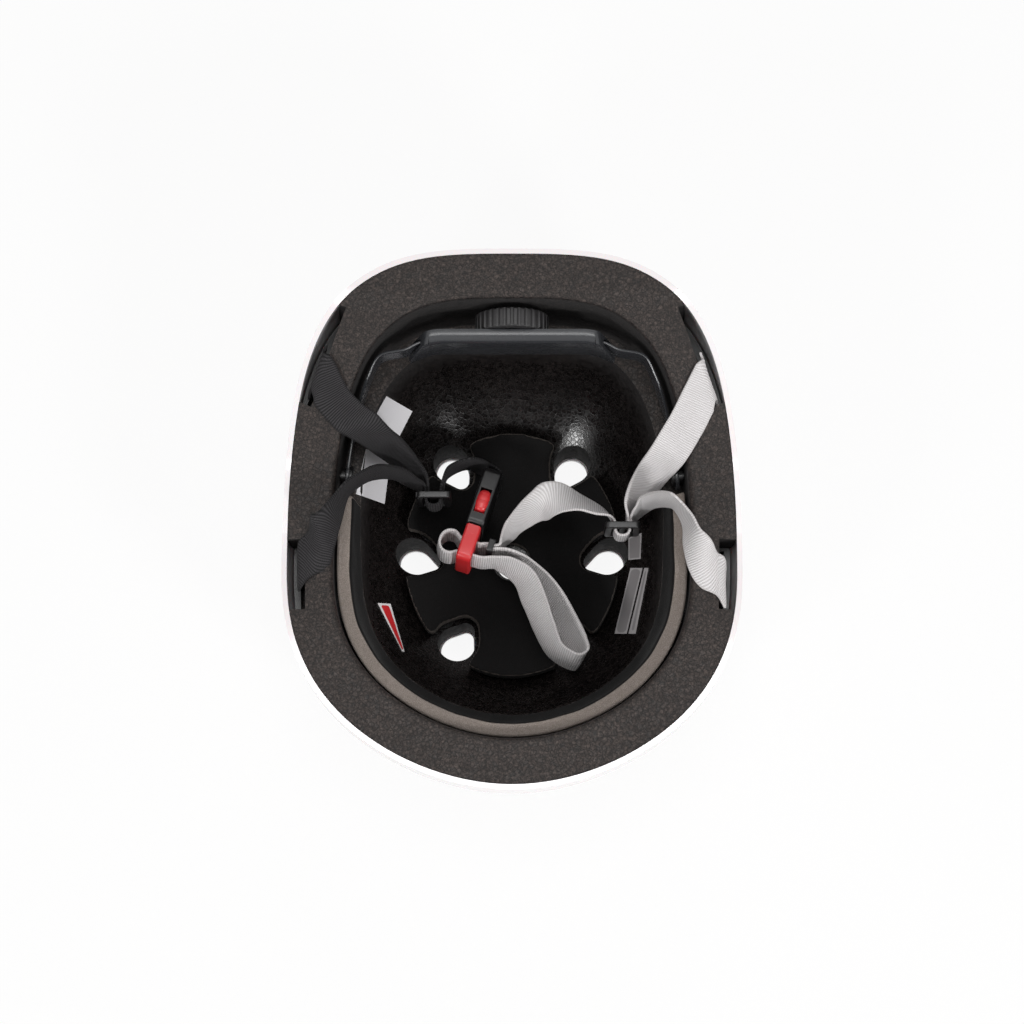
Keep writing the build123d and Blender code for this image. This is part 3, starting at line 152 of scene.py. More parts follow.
class Graph:
    """Node tree of one material or of the world."""

    def __init__(self, owner: bpy.types.Material | bpy.types.World) -> None:
        """Clears the owner's tree and works in it.

        Args:
            owner: The material or the world.
        """
        owner.use_nodes = True
        self.owner = owner
        self.tree = owner.node_tree
        self.tree.nodes.clear()

    def node(self, kind: str, settings: dict | None = None, sockets: dict | None = None,
             output: int | str = 0) -> Value:
        """Adds any node.

        Args:
            kind: The node's type.
            settings: Its properties.
            sockets: Values or links of its inputs, by name or number.
            output: The output that is handed on.

        Returns:
            The chosen output.
        """
        made = self.tree.nodes.new(kind)
        for key, value in (settings or {}).items():
            setattr(made, key, value)
        for key, value in (sockets or {}).items():
            if isinstance(value, Value):
                self.tree.links.new(value.socket, made.inputs[key])
            else:
                made.inputs[key].default_value = value
        return Value(self, made.outputs[output])

    def place(self) -> Value:
        """Object coordinates, in metres."""
        return self.node("ShaderNodeTexCoord", output="Object")

    def attribute(self, name: str) -> Value:
        """A number that the piece's vertices carry, by name."""
        return self.node("ShaderNodeAttribute", {"attribute_name": name}, output="Fac")

    def course(self) -> Value:
        """The piece's own map: across and along, in metres."""
        return self.node("ShaderNodeUVMap", {"uv_map": "course"})

    def axis(self, vector: Value, name: str) -> Value:
        """One component of a vector, X, Y or Z."""
        return self.node("ShaderNodeSeparateXYZ", sockets={0: vector}, output=name)

    def stretched(self, vector: Value, scale: tuple[float, float, float]) -> Value:
        """Coordinates scaled by a different amount along each axis."""
        return self.node("ShaderNodeMapping", sockets={"Vector": vector, "Scale": scale})

    def noise(self, place: Value, size: float, detail: float = 3.0, roughness: float = 0.55) -> Value:
        """Smooth noise from 0 to 1 whose features measure size metres."""
        return self.node("ShaderNodeTexNoise", sockets={
            "Vector": place, "Scale": 1 / size, "Detail": detail, "Roughness": roughness})

    def cells(self, place: Value, size: float, feature: str = "F1", output: str = "Distance",
              randomness: float = 1.0) -> Value:
        """Cell pattern with cells of about size metres."""
        return self.node("ShaderNodeTexVoronoi", {"feature": feature}, {
            "Vector": place, "Scale": 1 / size, "Randomness": randomness}, output)

    def cell_shade(self, place: Value, size: float) -> Value:
        """A random grey for each cell."""
        colour = self.cells(place, size, output="Color")
        return self.node("ShaderNodeSeparateColor", sockets={0: colour}, output="Red")

    def blended(self, factor: Value | float, low: Value | Colour, high: Value | Colour) -> Value:
        """A colour between two colours."""
        return self.node("ShaderNodeMix", {"data_type": "RGBA"}, {0: factor, 6: low, 7: high}, 2)

    def bump(self, height: Value, depth: float) -> Value:
        """Normal from a height map that is depth metres deep."""
        return self.node("ShaderNodeBump", sockets={"Strength": 1.0, "Distance": depth, "Height": height},
                         output="Normal")

    def principled(self, colour: Value, rough: Value | float, others: dict) -> Value:
        """A Principled shader, with its other sockets by name."""
        return self.node("ShaderNodeBsdfPrincipled", sockets={
            "Base Color": colour, "Roughness": rough, **others}, output="BSDF")

    def surface(self, colour: Value, rough: Value | float, others: dict) -> bpy.types.Material:
        """Ends the tree in one Principled shader."""
        return self.ended(self.principled(colour, rough, others))

    def ended(self, shader: Value) -> bpy.types.Material | bpy.types.World:
        """Links a shader to the output.

        Args:
            shader: The shader.

        Returns:
            The finished material or world.
        """
        owner = "World" if isinstance(self.owner, bpy.types.World) else "Material"
        made = self.tree.nodes.new("ShaderNodeOutput" + owner)
        self.tree.links.new(shader.socket, made.inputs["Surface"])
        return self.owner


@dataclass(frozen=True)
class BeadFoam:
    """Dark moulded bead foam: matt grains on rim and ledge; shiny in the bowl and on steep walls, with
    painted shade there.
    """

    name: str
    dark: Colour
    light: Colour
    gap: Colour
    # Painted shade: darker colours for the foam in the bowl and on steep walls
    shaded_skin_dark: Colour
    shaded_skin_light: Colour
    bead: float = 2.1 * MM
    grit: float = 0.62 * MM
    depth: float = 0.1 * MM
    # Plane below which the foam turns shiny and takes painted shade
    skin_and_shade_top: float = 82 * MM
    skin_and_shade_slope: float = 0.135

    def material(self) -> bpy.types.Material:
        """Builds the tree, in which height and slant choose between matt grain and a shiny face that carries
        painted shade.

        Returns:
            The material.
        """
        graph = Graph(bpy.data.materials.new(self.name))
        place = graph.place()
        facing = graph.axis(graph.node("ShaderNodeNewGeometry", output="Normal"), "Z")
        level = graph.axis(place, "Z") - graph.axis(place, "Y") * self.skin_and_shade_slope
        open_face = level.step(self.skin_and_shade_top - 2 * MM, self.skin_and_shade_top + 1 * MM)
        # Mask of gloss and painted shade: low in the bowl and on steep faces
        skin_and_shade = 1 - open_face * facing.step(0.3, 0.72)
        shade = graph.cell_shade(place, self.bead)
        seam = 1 - graph.cells(place, self.bead, "DISTANCE_TO_EDGE").step(0.0, 0.2)
        grit = graph.noise(place, self.grit, 2.0, 0.75)
        fleck = graph.noise(place, self.grit * 2.6, 2.0, 0.6).step(0.5, 0.66)
        speck = grit.step(0.4, 0.66)
        patch = graph.noise(place, 22 * MM, 3.0)
        mix = (shade * 0.18 + speck * 0.5 + fleck * 0.45) * (0.65 + patch * 0.6)
        grain = graph.blended(mix, self.dark, self.light)
        # Painted shade: the darker colours where that mask is set
        shaded_skin_colour = graph.blended(mix, self.shaded_skin_dark, self.shaded_skin_light)
        gaps = graph.blended(seam * 0.45, grain, self.gap)
        pit = skin_and_shade * (1 - facing.step(0.1, 0.5))
        height = (shade * 0.3 + grit * 0.5 - seam * 0.4) * (1 - skin_and_shade * 0.55)
        normal = graph.bump(height, self.depth)
        matt = graph.principled(gaps, 0.42 + shade * 0.14 + seam * 0.1, {
            "Normal": normal, "Specular IOR Level": 0.24})
        shiny = graph.principled(
            graph.blended(seam * 0.3, shaded_skin_colour, self.gap),
            0.1 + shade * 0.12 + seam * 0.1 + grit * 0.1 + pit * 0.6,
            {"Normal": normal, "Specular IOR Level": 0.5})
        return graph.ended(graph.node("ShaderNodeMixShader", sockets={0: skin_and_shade, 1: matt, 2: shiny}))


@dataclass(frozen=True)
class PadCloth:
    """Brushed cloth laminated on open foam; the cut edge shows the foam."""

    name: str
    cloth: Colour
    nap: Colour
    foam: Colour
    pore: Colour

    def material(self) -> bpy.types.Material:
        """Builds the tree, which the piece's cut_edge attribute mixes.

        Returns:
            The material.
        """
        graph = Graph(bpy.data.materials.new(self.name))
        place = graph.place()
        cut = graph.attribute("cut_edge").step(0.35, 0.65)
        fibres = graph.noise(graph.stretched(place, (1.0, 1.0, 0.55)), 0.5 * MM, 4.0, 0.7)
        loops = graph.cells(place, 0.75 * MM).step(0.1, 0.75)
        worn = graph.noise(place, 19 * MM, 3.0).step(0.35, 0.75)
        cloth = graph.blended(fibres.step(0.42, 0.8) * (0.45 + worn * 0.55), self.cloth, self.nap)
        pores = graph.cells(place, 0.62 * MM, "DISTANCE_TO_EDGE").step(0.02, 0.22)
        grain = graph.noise(place, 1.6 * MM, 3.0)
        foam = graph.blended((1 - pores) * 0.55 + grain * 0.45, self.foam, self.pore)
        colour = graph.blended(cut, cloth, foam)
        height = (fibres * 0.6 + loops * 0.4) * (1 - cut) + (1 - pores) * cut
        normal = graph.bump(height, 0.16 * MM)
        return graph.surface(colour, 0.82 + fibres * 0.14, {
            "Normal": normal, "Sheen Weight": 0.03, "Sheen Roughness": 0.45, "Specular IOR Level": 0.2})


@dataclass(frozen=True)
class RibbedWebbing:
    """Ribbed polyester webbing with plain selvedges; painted light and shade across the ribs, crests lighter,
    valleys darker.
    """

    name: str
    # Crest and valley colours carry painted light and shade across the ribs
    crest: Colour
    shaded_valley: Colour
    width: float = 17.8 * MM
    pitch: float = 1.06 * MM
    yarn: float = 0.62 * MM
    selvedge: float = 1.0 * MM
    sheen: float = 0.15
    gloss: float = 0.5

    def material(self) -> bpy.types.Material:
        """Builds the tree on the strap's own map, in metres.

        Returns:
            The material.
        """
        graph = Graph(bpy.data.materials.new(self.name))
        course = graph.course()
        across, along = graph.axis(course, "X"), graph.axis(course, "Y")
        wander = graph.noise(course, 9 * MM, 2.0) * (0.4 * self.pitch)
        rib = ((along + wander) * (2 * math.pi / self.pitch)).sine() * 0.5 + 0.5
        yarn = ((across + (along * (math.pi / self.pitch)).sine() * (self.yarn / 2))
                * (2 * math.pi / self.yarn)).sine() * 0.5 + 0.5
        edge = across.least(self.width - across).step(self.selvedge * 0.7, self.selvedge * 1.2)
        soil = graph.noise(course, 14 * MM, 4.0)
        fuzz = graph.noise(course, 0.35 * MM, 2.0, 0.7)
        # Painted light and shade: colour follows the ribs from valley tone to crest tone, and is darker at
        # the selvedges
        lit = (rib * 0.7 + yarn * 0.3) * (0.55 + edge * 0.45) * (0.78 + fuzz * 0.3) + (soil - 0.5) * 0.22
        colour = graph.blended(lit, self.shaded_valley, self.crest)
        normal = graph.bump(rib * (0.35 + edge * 0.65) + yarn * 0.3 + fuzz * 0.15, 0.2 * MM)
        return graph.surface(colour, 0.62 + fuzz * 0.25, {
            "Normal": normal, "Sheen Weight": self.sheen, "Sheen Roughness": 0.4,
            "Specular IOR Level": self.gloss})


@dataclass(frozen=True)
class MouldedPlastic:
    """Injection moulded plastic with a spark-eroded grain, flow marks and light scuffs."""

    name: str
    base: Colour
    scuffed: Colour
    roughness: float = 0.38
    grain: float = 0.35 * MM
    grain_depth: float = 0.02 * MM
    subsurface: float = 0.0

    def material(self) -> bpy.types.Material:
        """Builds the tree.

        Returns:
            The material.
        """
        graph = Graph(bpy.data.materials.new(self.name))
        place = graph.place()
        grain = graph.noise(place, self.grain, 3.0, 0.65)
        flow = graph.noise(graph.stretched(place, (0.4, 1.0, 1.6)), 11 * MM, 3.0)
        scratch = graph.noise(graph.stretched(place, (0.12, 1.0, 1.0)), 0.5 * MM, 2.0, 0.8).step(0.63, 0.72)
        wear = scratch * flow.step(0.4, 0.7)
        colour = graph.blended(wear * 0.5 + flow * 0.25, self.base, self.scuffed)
        rough = self.roughness + grain * 0.1 + wear * 0.14 + (flow - 0.5) * 0.12
        normal = graph.bump(grain + flow * 0.6 - scratch * 0.3, self.grain_depth)
        depth = {"Subsurface Weight": self.subsurface, "Subsurface Scale": 1.5 * MM}
        return graph.surface(colour, rough, {"Normal": normal, **(depth if self.subsurface else {})})


@dataclass(frozen=True)
class GlossShell:
    """White thermoformed sheet: gloss over a faint orange peel, with hairline scuffs."""

    name: str
    base: Colour
    warm: Colour
    scuff: Colour

    def material(self) -> bpy.types.Material:
        """Builds the tree.

        Returns:
            The material.
        """
        graph = Graph(bpy.data.materials.new(self.name))
        place = graph.place()
        peel = graph.noise(place, 3.2 * MM, 2.0)
        cloud = graph.noise(place, 60 * MM, 3.0)
        hair = graph.noise(graph.stretched(place, (0.06, 1.0, 0.9)), 0.9 * MM, 2.0, 0.75).step(0.66, 0.74)
        patch = graph.noise(place, 34 * MM, 2.0).step(0.5, 0.72)
        scuffs = hair * patch
        colour = graph.blended(cloud.step(0.3, 0.8), self.base, self.warm)
        colour = graph.blended(scuffs * 0.5, colour, self.scuff)
        normal = graph.bump(peel - scuffs * 0.2, 0.018 * MM)
        return graph.surface(colour, 0.16 + scuffs * 0.3 + cloud * 0.06, {
            "Normal": normal, "Coat Weight": 0.5 - scuffs * 0.4, "Coat Roughness": 0.05,
            "Subsurface Weight": 0.05, "Subsurface Scale": 2 * MM})


@dataclass(frozen=True)
class BrushedSteel:
    """Turned and plated steel of a small screw."""

    name: str
    base: Colour
    dull: Colour

    def material(self) -> bpy.types.Material:
        """Builds the tree.

        Returns:
            The material.
        """
        graph = Graph(bpy.data.materials.new(self.name))
        place = graph.place()
        turned = graph.noise(graph.stretched(place, (1.0, 0.1, 1.0)), 0.25 * MM, 3.0)
        stain = graph.noise(place, 2.2 * MM, 3.0)
        colour = graph.blended(stain.step(0.4, 0.8), self.base, self.dull)
        normal = graph.bump(turned, 0.012 * MM)
        return graph.surface(colour, 0.25 + turned * 0.2, {"Metallic": 1.0, "Normal": normal})


@dataclass(frozen=True)
class BlankLabel:
    """Printed film without print: a face, a border and a slight creasing."""

    name: str
    face: Colour
    border: Colour
    margin: float = 0.0

    def material(self) -> bpy.types.Material:
        """Builds the tree on the label's own map, in metres.

        Returns:
            The material.
        """
        graph = Graph(bpy.data.materials.new(self.name))
        sheet = graph.course()
        inside = graph.attribute("inset").step(self.margin * 0.9, self.margin * 1.1 + 1e-6)
        fibre = graph.noise(sheet, 0.5 * MM, 3.0, 0.7)
        crease = graph.noise(sheet, 7 * MM, 2.0)
        colour = graph.blended(inside, self.border, self.face)
        colour = graph.blended(fibre.step(0.45, 0.8) * 0.12, colour, tone("8A8784"))
        normal = graph.bump(crease + fibre * 0.08, 0.12 * MM)
        return graph.surface(colour, 0.4 + fibre * 0.2, {"Normal": normal})


@dataclass(frozen=True)
class HookTape:
    """Woven tape with rows of tiny hooks."""

    name: str
    base: Colour
    hook: Colour

    def material(self) -> bpy.types.Material:
        """Builds the tree.

        Returns:
            The material.
        """
        graph = Graph(bpy.data.materials.new(self.name))
        place = graph.place()
        rows = graph.cells(place, 1.1 * MM, randomness=0.35).step(0.12, 0.5)
        colour = graph.blended(rows, self.hook, self.base)
        normal = graph.bump(1 - rows, 0.3 * MM)
        return graph.surface(colour, 0.55 + rows * 0.3, {"Normal": normal})


class Finishes:
    """Every material of the helmet, made once."""

    def __init__(self) -> None:
        """Builds the materials."""
        self.shell = GlossShell("shell_white", *tones("EFEBEC F1E8E9 C9C2C0")).material()
        # The foam's last two colours are painted shade for the bowl and steep walls
        self.foam = BeadFoam("foam_beads", *tones("0D0A09 4F4642 080707 060505 2A2524")).material()
        self.foam_mark = MouldedPlastic("foam_vent_marks", *tones("0E0C0C 2A2625"), 0.7).material()
        self.pad = PadCloth("pad_cloth_on_foam", *tones("080707 191717 ADA199 7C736C")).material()
        self.hook = HookTape("hook_tape", *tones("141314 3A3838")).material()
        # Second colour of each webbing is painted shade in the rib valleys; the black webbing's lighter
        # crests are painted highlight
        self.web_black = RibbedWebbing("webbing_black", *tones("444244 030303"), sheen=0.02,
                                       gloss=0.2).material()
        self.web_white = RibbedWebbing("webbing_white", *tones("F2F0F1 BBB6B5"), sheen=0.03).material()
        self.trim = MouldedPlastic("trim_black", *tones("090809 262425"), 0.32).material()
        self.red = MouldedPlastic("buckle_red", *tones("C81E22 E4666A"), 0.28, subsurface=0.15).material()
        self.adjuster = MouldedPlastic("adjuster_grey", *tones("2B2C2F 4E4F52"), 0.22).material()
        self.knob = MouldedPlastic("knob_black", *tones("161516 4C4A4B"), 0.42, 0.5 * MM,
                                   0.04 * MM).material()
        self.nylon = MouldedPlastic("gear_nylon", *tones("242425 4A4A4A"), 0.45).material()
        self.steel = BrushedSteel("screw_steel", *tones("B9B6B0 77736C")).material()
        self.label_white = BlankLabel("label_white", *tones("F4F2F5 F4F2F5")).material()
        self.label_red = BlankLabel("label_red", *tones("D2262B F0ECEC"), 1.1 * MM).material()
        # Painted shade: the grey labels are pale labels greyed for the shade they lie in
        self.label_painted_shade = BlankLabel("label_painted_shade", *tones("8F8B8C B5B1B2"), 0.6 * MM).material()


UPRIGHT = (0.0, 0.0, 1.0)
BUCKLE_UP = (0.049, 0.149, 0.988)


def held(width: Place, *centres: Place) -> Rows:
    """Rows of a course that share one direction of the width."""
    return tuple(centre + width for centre in centres)


# Courses of the straps and bands, in millimetres: centre, then the direction of the width
REAR_LEFT_COURSE: Rows = (
    held((0.33, 0.812, 0.482), (-91.9, 68.2, 106.2), (-91.9, 68.2, 123.9), (-90.9, 70.6, 131.7),
        (-91.1, 69.7, 132.3), (-90.8, 68.7, 133), (-90.1, 67.5, 133.1), (-89.3, 66.2, 132.9))
    + ((-83.9, 56.7, 127.4, 0.801, 0.52, 0.295), (-76.8, 49.6, 123.6, 0.869, 0.443, 0.222),
        (-70.7, 45.2, 121.9, 0.913, 0.369, 0.174), (-64.4, 41.6, 114.8, 0.862, 0.28, 0.423),
        (-57.5, 38.7, 100.4, 0.707, 0.23, 0.669), (-50.7, 34.6, 87.8, 0.492, 0.087, 0.866),
        (-44, 29.6, 79.6, 0.242, 0, 0.97))
    + held(UPRIGHT, (-40.6, 24.3, 75), (-40.6, 19.6, 75)))
FRONT_LEFT_COURSE: Rows = (
    held((-0.03, 0.992, -0.12), (-100.1, -18.9, 84.7), (-100.1, -18.9, 102.3), (-100, -22.5, 114.7),
        (-99.7, -21.2, 115.7), (-99.2, -20, 116.6), (-98.1, -18.8, 117.1), (-97, -17.6, 117.3))
    + ((-91.9, -13, 118.7, -0.22, 0.953, 0.208), (-88.1, -6.3, 122.6, -0.37, 0.696, 0.616),
        (-84.9, 0.5, 123.7, -0.441, 0.344, 0.829), (-81.8, 7.9, 121.5, -0.27, 0.057, 0.961),
        (-77.3, 16.3, 118, -0.104, -0.004, 0.995), (-66.7, 25.5, 106.6, -0.046, 0.025, 0.999),
        (-58, 28.7, 94.5, -0.024, 0.047, 0.999), (-50.3, 27.7, 83.9, 0.044, 0.075, 0.996),
        (-46, 26, 78.5, 0.04, 0.034, 0.999))
    + held(UPRIGHT, (-42.2, 24.3, 75), (-42.2, 19.6, 75)))
REAR_RIGHT_COURSE: Rows = (
    held((-0.33, 0.812, 0.482), (93.4, 64.6, 106.2), (93.4, 64.6, 123.9), (92.3, 67.3, 129.7),
        (92.5, 66.4, 130.4), (92.1, 65.2, 130.8), (91.6, 63.9, 131), (90.9, 62.6, 130.7))
    + ((87.3, 55.8, 126.9, -0.563, 0.721, 0.404), (82.6, 46.9, 122.2, -0.671, 0.671, 0.314),
        (78, 39.2, 120.3, -0.791, 0.596, 0.139), (73.5, 32.5, 116.5, -0.853, 0.453, 0.259),
        (66.5, 25.3, 103.1, -0.807, 0.262, 0.53), (60.2, 17.3, 91, -0.615, -0.021, 0.788),
        (56.2, 12, 84.8, -0.171, -0.03, 0.985))
    + held(UPRIGHT, (55.7, 7.9, 83), (55.7, 3.2, 83)))
FRONT_RIGHT_COURSE: Rows = (
    held((0.03, 0.988, -0.154), (99.8, -27.2, 84.7), (99.8, -27.2, 102.3), (99.7, -30.7, 116),
        (99.5, -29.6, 117), (98.9, -28.3, 117.8), (97.9, -27.1, 118.3), (96.7, -25.9, 118.5))
    + ((91.9, -22.3, 120.2, 0.22, 0.95, 0.2), (87.2, -16.1, 122.4, 0.38, 0.72, 0.58),
        (84, -8.8, 123, 0.36, 0.34, 0.87), (81.8, 0.5, 121, 0.15, 0.1, 0.98),
        (75.9, 9.4, 117.6, 0.034, 0.061, 0.998), (68.6, 13, 105.8, -0.047, 0.093, 0.995),
        (62.8, 12.6, 93.7, -0.109, 0.135, 0.985), (60, 10.2, 87.1, -0.055, 0.068, 0.996))
    + held(UPRIGHT, (57.3, 7.9, 83), (57.3, 3.2, 83)))
CHIN_LEFT_COURSE: Rows = (
    held(UPRIGHT, (-41.4, 19.3, 75), (-41.4, 17.8, 75), (-40.2, 15.8, 75), (-37.9, 15.2, 75),
        (-35.6, 15.8, 75), (-34.5, 17.8, 75), (-34.5, 21.2, 75))
    + ((-33.6, 26.7, 74.2, 0.024, 0.066, 0.998), (-30.9, 33.6, 71.4, 0.061, 0.106, 0.993),
        (-21.6, 38.7, 66, 0, 0.035, 0.999))
    + held(BUCKLE_UP, (-12, 37.8, 57.1), (-7.6, 35.6, 57.2), (-5.3, 32.7, 57.5), (-5.9, 29.7, 58),
        (-8.5, 28.3, 58.3), (-11.9, 29.3, 58.3), (-14, 31.1, 58.2), (-13.9, 33.4, 57.8),
        (-12.1, 35.1, 57.5)))
CHIN_RIGHT_COURSE: Rows = (
    held(UPRIGHT, (56.5, 2.9, 83), (56.5, 1.4, 83), (55.3, -0.6, 83), (53, -1.2, 83), (50.7, -0.6, 83),
        (49.6, 1.4, 83), (49.6, 4.8, 83))
    + ((47.8, 8.4, 82.8, -0.098, -0.036, 0.995), (42, 12, 83.2, -0.2, -0.35, 0.91),
        (31.4, 16.3, 85.5, 0, -0.64, 0.77), (24.5, 17.8, 86.1, -0.03, -0.88, 0.47),
        (18.6, 17.3, 85.2, 0.1, -0.99, 0), (12.8, 15, 82, 0.24, -0.62, -0.75),
        (6.8, 11.5, 77, 0.22, -0.36, -0.91), (0.8, 6.7, 70.3, 0.23, -0.14, -0.96),
        (-4, 0.8, 63, 0.137, -0.024, -0.99))
    + held((-0.049, -0.149, -0.988), (-6.5, -3.4, 63), (-8.8, -3.9, 63.2), (-11.7, -3, 63.2),
        (-14.2, -3, 63.3), (-15.9, -3.1, 63.4), (-17.1, -2.7, 63.4)))
CHIN_TAIL_COURSE: Rows = (
    held(BUCKLE_UP, (-17.3, -2.7, 63.4), (-20.9, -1.5, 63.4), (-25.2, -0.1, 63.4), (-27.5, 3.1, 63),
        (-31.2, 3.9, 63.1), (-34.3, 1.8, 63.6), (-35.7, -2.5, 64.3), (-34.4, -6.1, 64.8),
        (-31, -7.6, 64.8), (-26.7, -6.9, 64.5), (-23.1, -8, 64.5), (-18.8, -9.1, 64.5),
        (-14.7, -10, 64.4), (-9.4, -9.7, 64.1))
    + ((-3.9, -10.5, 64, 0.406, 0.164, 0.899), (5.9, -17.5, 65, 0.554, 0.148, 0.819),
        (11.2, -30.4, 68, 0.601, 0.021, 0.799), (15.7, -43.1, 71, 0.509, 0.081, 0.857),
        (20.7, -54, 74, 0.377, 0.152, 0.914), (27.7, -59.4, 75, 0.281, 0.271, 0.921),
        (32.2, -60.1, 74.2, 0.203, 0.352, 0.914), (33.9, -57.3, 72.8, 0.31, 0.31, 0.899),
        (31.9, -52.2, 70.5, 0.464, 0.187, 0.866), (26.7, -41, 66, 0.581, 0.092, 0.809),
        (21, -29.3, 63, 0.599, 0.063, 0.799), (13.9, -18.6, 61.3, 0.573, 0.01, 0.819),
        (4.4, -8.4, 61.3, 0.39, -0.014, 0.921), (-2.2, -5.2, 63.1, 0.242, 0, 0.97))
    + held(BUCKLE_UP, (-6.1, -5.7, 63.3), (-9.3, -5.8, 63.5), (-11.9, -5, 63.5)))
BAND_RUN: Rows = (
    held(UPRIGHT, (32.8, 85.7, 124), (36.8, 85.3, 124), (41.4, 84.3, 124), (45.8, 82.5, 124),
        (50, 80.2, 124), (62.1, 78.2, 120.2), (67.7, 69.7, 113.7), (71.8, 60.5, 106.2),
        (74.5, 50.9, 100.5), (76.3, 41.6, 97.5), (77.6, 32.8, 97)))
BAND_RIGHT_COURSE: Rows = BAND_RUN + held(UPRIGHT, (78.4, 25.8, 97))
BAND_LEFT_COURSE: Rows = tuple((-x, *rest) for x, *rest in BAND_RUN) + held(UPRIGHT, (-78.4, 25.9, 97))


@dataclass(frozen=True)
class HelmetForm:
    """Shape of the bowl: a dome that every inner layer follows."""

    width: float = 216 * MM
    length: float = 252 * MM
    crown_depth: float = 108 * MM
    rim_tuck: float = 2.2 * MM
    rear_rim: float = 148 * MM
    widest_y: float = -13.86 * MM
    crown_y: float = -5.04 * MM
    front_exponent: float = 2.0
    rear_exponent: float = 3.2
    profile_exponent: float = 2.15

    def plan_radius(self, angle: float, inset: float) -> float:
        """Distance from the widest centre to the wall.

        Args:
            angle: Plan angle from +X, in degrees.
            inset: Distance in from the shell's outer face.

        Returns:
            The distance in metres.
        """
        c, s = math.cos(math.radians(angle)), math.sin(math.radians(angle))
        side = self.width / 2 - inset
        reach = self.length / 2 - inset + (-self.widest_y if s >= 0 else self.widest_y)
        power = self.front_exponent + (self.rear_exponent - self.front_exponent) * (1 + s) / 2
        return (abs(c / side) ** power + abs(s / reach) ** power) ** (-1 / power)

    def wall(self, angle: float, z: float, inset: float, crown_z: float) -> Vector:
        """A point of an inner layer's wall.

        Args:
            angle: Plan angle in degrees.
            z: Height of the point.
            inset: Distance in from the shell's outer face.
            crown_z: Height of that layer's lowest point.

        Returns:
            The point in the shared frame.
        """
        scale, tuck = 1.0, 0.0
        if z < self.crown_depth:
            rise = (self.crown_depth - z) / (self.crown_depth - crown_z)
            scale = (1 - rise ** self.profile_exponent) ** (1 / self.profile_exponent)
        else:
            tuck = self.rim_tuck * ((z - self.crown_depth) / (self.rear_rim - self.crown_depth)) ** 2
        radius = self.plan_radius(angle, inset + tuck) * scale
        centre = self.widest_y + (self.crown_y - self.widest_y) * (1 - scale)
        turn = math.radians(angle)
        return Vector((radius * math.cos(turn), centre + radius * math.sin(turn), z))


def linked(name: str, data: bpy.types.ID) -> bpy.types.Object:
    """Adds an object to the scene.

    Args:
        name: Its name.
        data: Its mesh, lamp or camera.

    Returns:
        The new object.
    """
    made = bpy.data.objects.new(name, data)
    bpy.context.scene.collection.objects.link(made)
    return made


def add_piece(name: str, shape: bmesh.types.BMesh, finishes: Iterable[bpy.types.Material],
              smooth_angle: float = 40.0) -> bpy.types.Object:
    """Turns a finished bmesh into an object at the origin.

    Args:
        name: The piece's name.
        shape: The bmesh, which is freed.
        finishes: Materials, in the order of its faces' material numbers.
        smooth_angle: Edges sharper than this, in degrees, stay crisp.

    Returns:
        The new object.
    """
    for face in shape.faces:
        face.smooth = True
    for edge in shape.edges:
        edge.smooth = len(edge.link_faces) == 2 and edge.calc_face_angle(0.0) < math.radians(smooth_angle)
    mesh = bpy.data.meshes.new(name)
    shape.to_mesh(mesh)
    shape.free()
    for finish in finishes:
        mesh.materials.append(finish)
    return linked(name, mesh)


def soften(piece: bpy.types.Object, radius: float, steps: int, angle: float) -> None:
    """Gives a piece a modifier that rounds its edges.

    Args:
        piece: The piece.
        radius: Radius of the rounding.
        steps: Steps in it.
        angle: Only edges sharper than this, in degrees, are rounded.
    """
    soft = piece.modifiers.new("edge", "BEVEL")
    soft.width, soft.segments = radius, steps
    soft.limit_method, soft.angle_limit = "ANGLE", math.radians(angle)


def settle(piece: bpy.types.Object) -> None:
    """Applies every modifier of a piece to its mesh, which then shades smoothly.

    Args:
        piece: The piece.
    """
    graph = bpy.context.evaluated_depsgraph_get()
    graph.update()
    mesh = bpy.data.meshes.new_from_object(piece.evaluated_get(graph), preserve_all_data_layers=True,
                                           depsgraph=graph)
    piece.modifiers.clear()
    piece.data = mesh
    mesh.shade_smooth()


def hand_over(piece: bpy.types.Object, body: Body, slot: Slot, *nodes: str) -> bpy.types.Object:
    """Attaches a piece to its body and hides the solids that it stands for.

    Args:
        piece: The piece.
        body: The body that it rides on.
        slot: Its material slot; not used.
        nodes: The solids, if any.

    Returns:
        The piece.
    """
    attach(piece, body.value)
    if nodes:
        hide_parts(*nodes)
    LOG.info("%s rides on %s, %d faces", piece.name, body.value, len(piece.data.polygons))
    return piece


def hand_between(piece: bpy.types.Object, far: Body, slot: Slot, start: Place, end: Place,
                 node: str) -> None:
    """Bakes a piece's placement into its mesh and hides the solid that it stands for.

    Args:
        piece: The piece.
        far: The other body, which the log names.
        slot: Its material slot; not used.
        start: Where it leaves the helmet, in millimetres; not used.
        end: Where it meets the other body; not used.
        node: The solid that it stands for.
    """
    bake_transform(piece)
    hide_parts(node)
    LOG.info("%s bends between helmet and %s", piece.name, far.value)


def relax(shape: bmesh.types.BMesh, corners: Sequence[bmesh.types.BMVert], rounds: int) -> None:
    """Evens out vertices of a mesh, half way each round.

    Args:
        shape: The mesh.
        corners: The vertices that may move.
        rounds: How often they move.
    """
    for _ in range(rounds):
        bmesh.ops.smooth_vert(shape, verts=corners, factor=0.5, use_axis_x=True, use_axis_y=True,
                              use_axis_z=True)


def dress_node(node: str, finish: bpy.types.Material) -> None:
    """Gives a carried-over node its finish.

    Args:
        node: The CAD node.
        finish: Its material.
    """
    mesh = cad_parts[node].data
    mesh.materials.clear()
    mesh.materials.append(finish)
    LOG.info("%s keeps its solid, finish %s", node, finish.name)


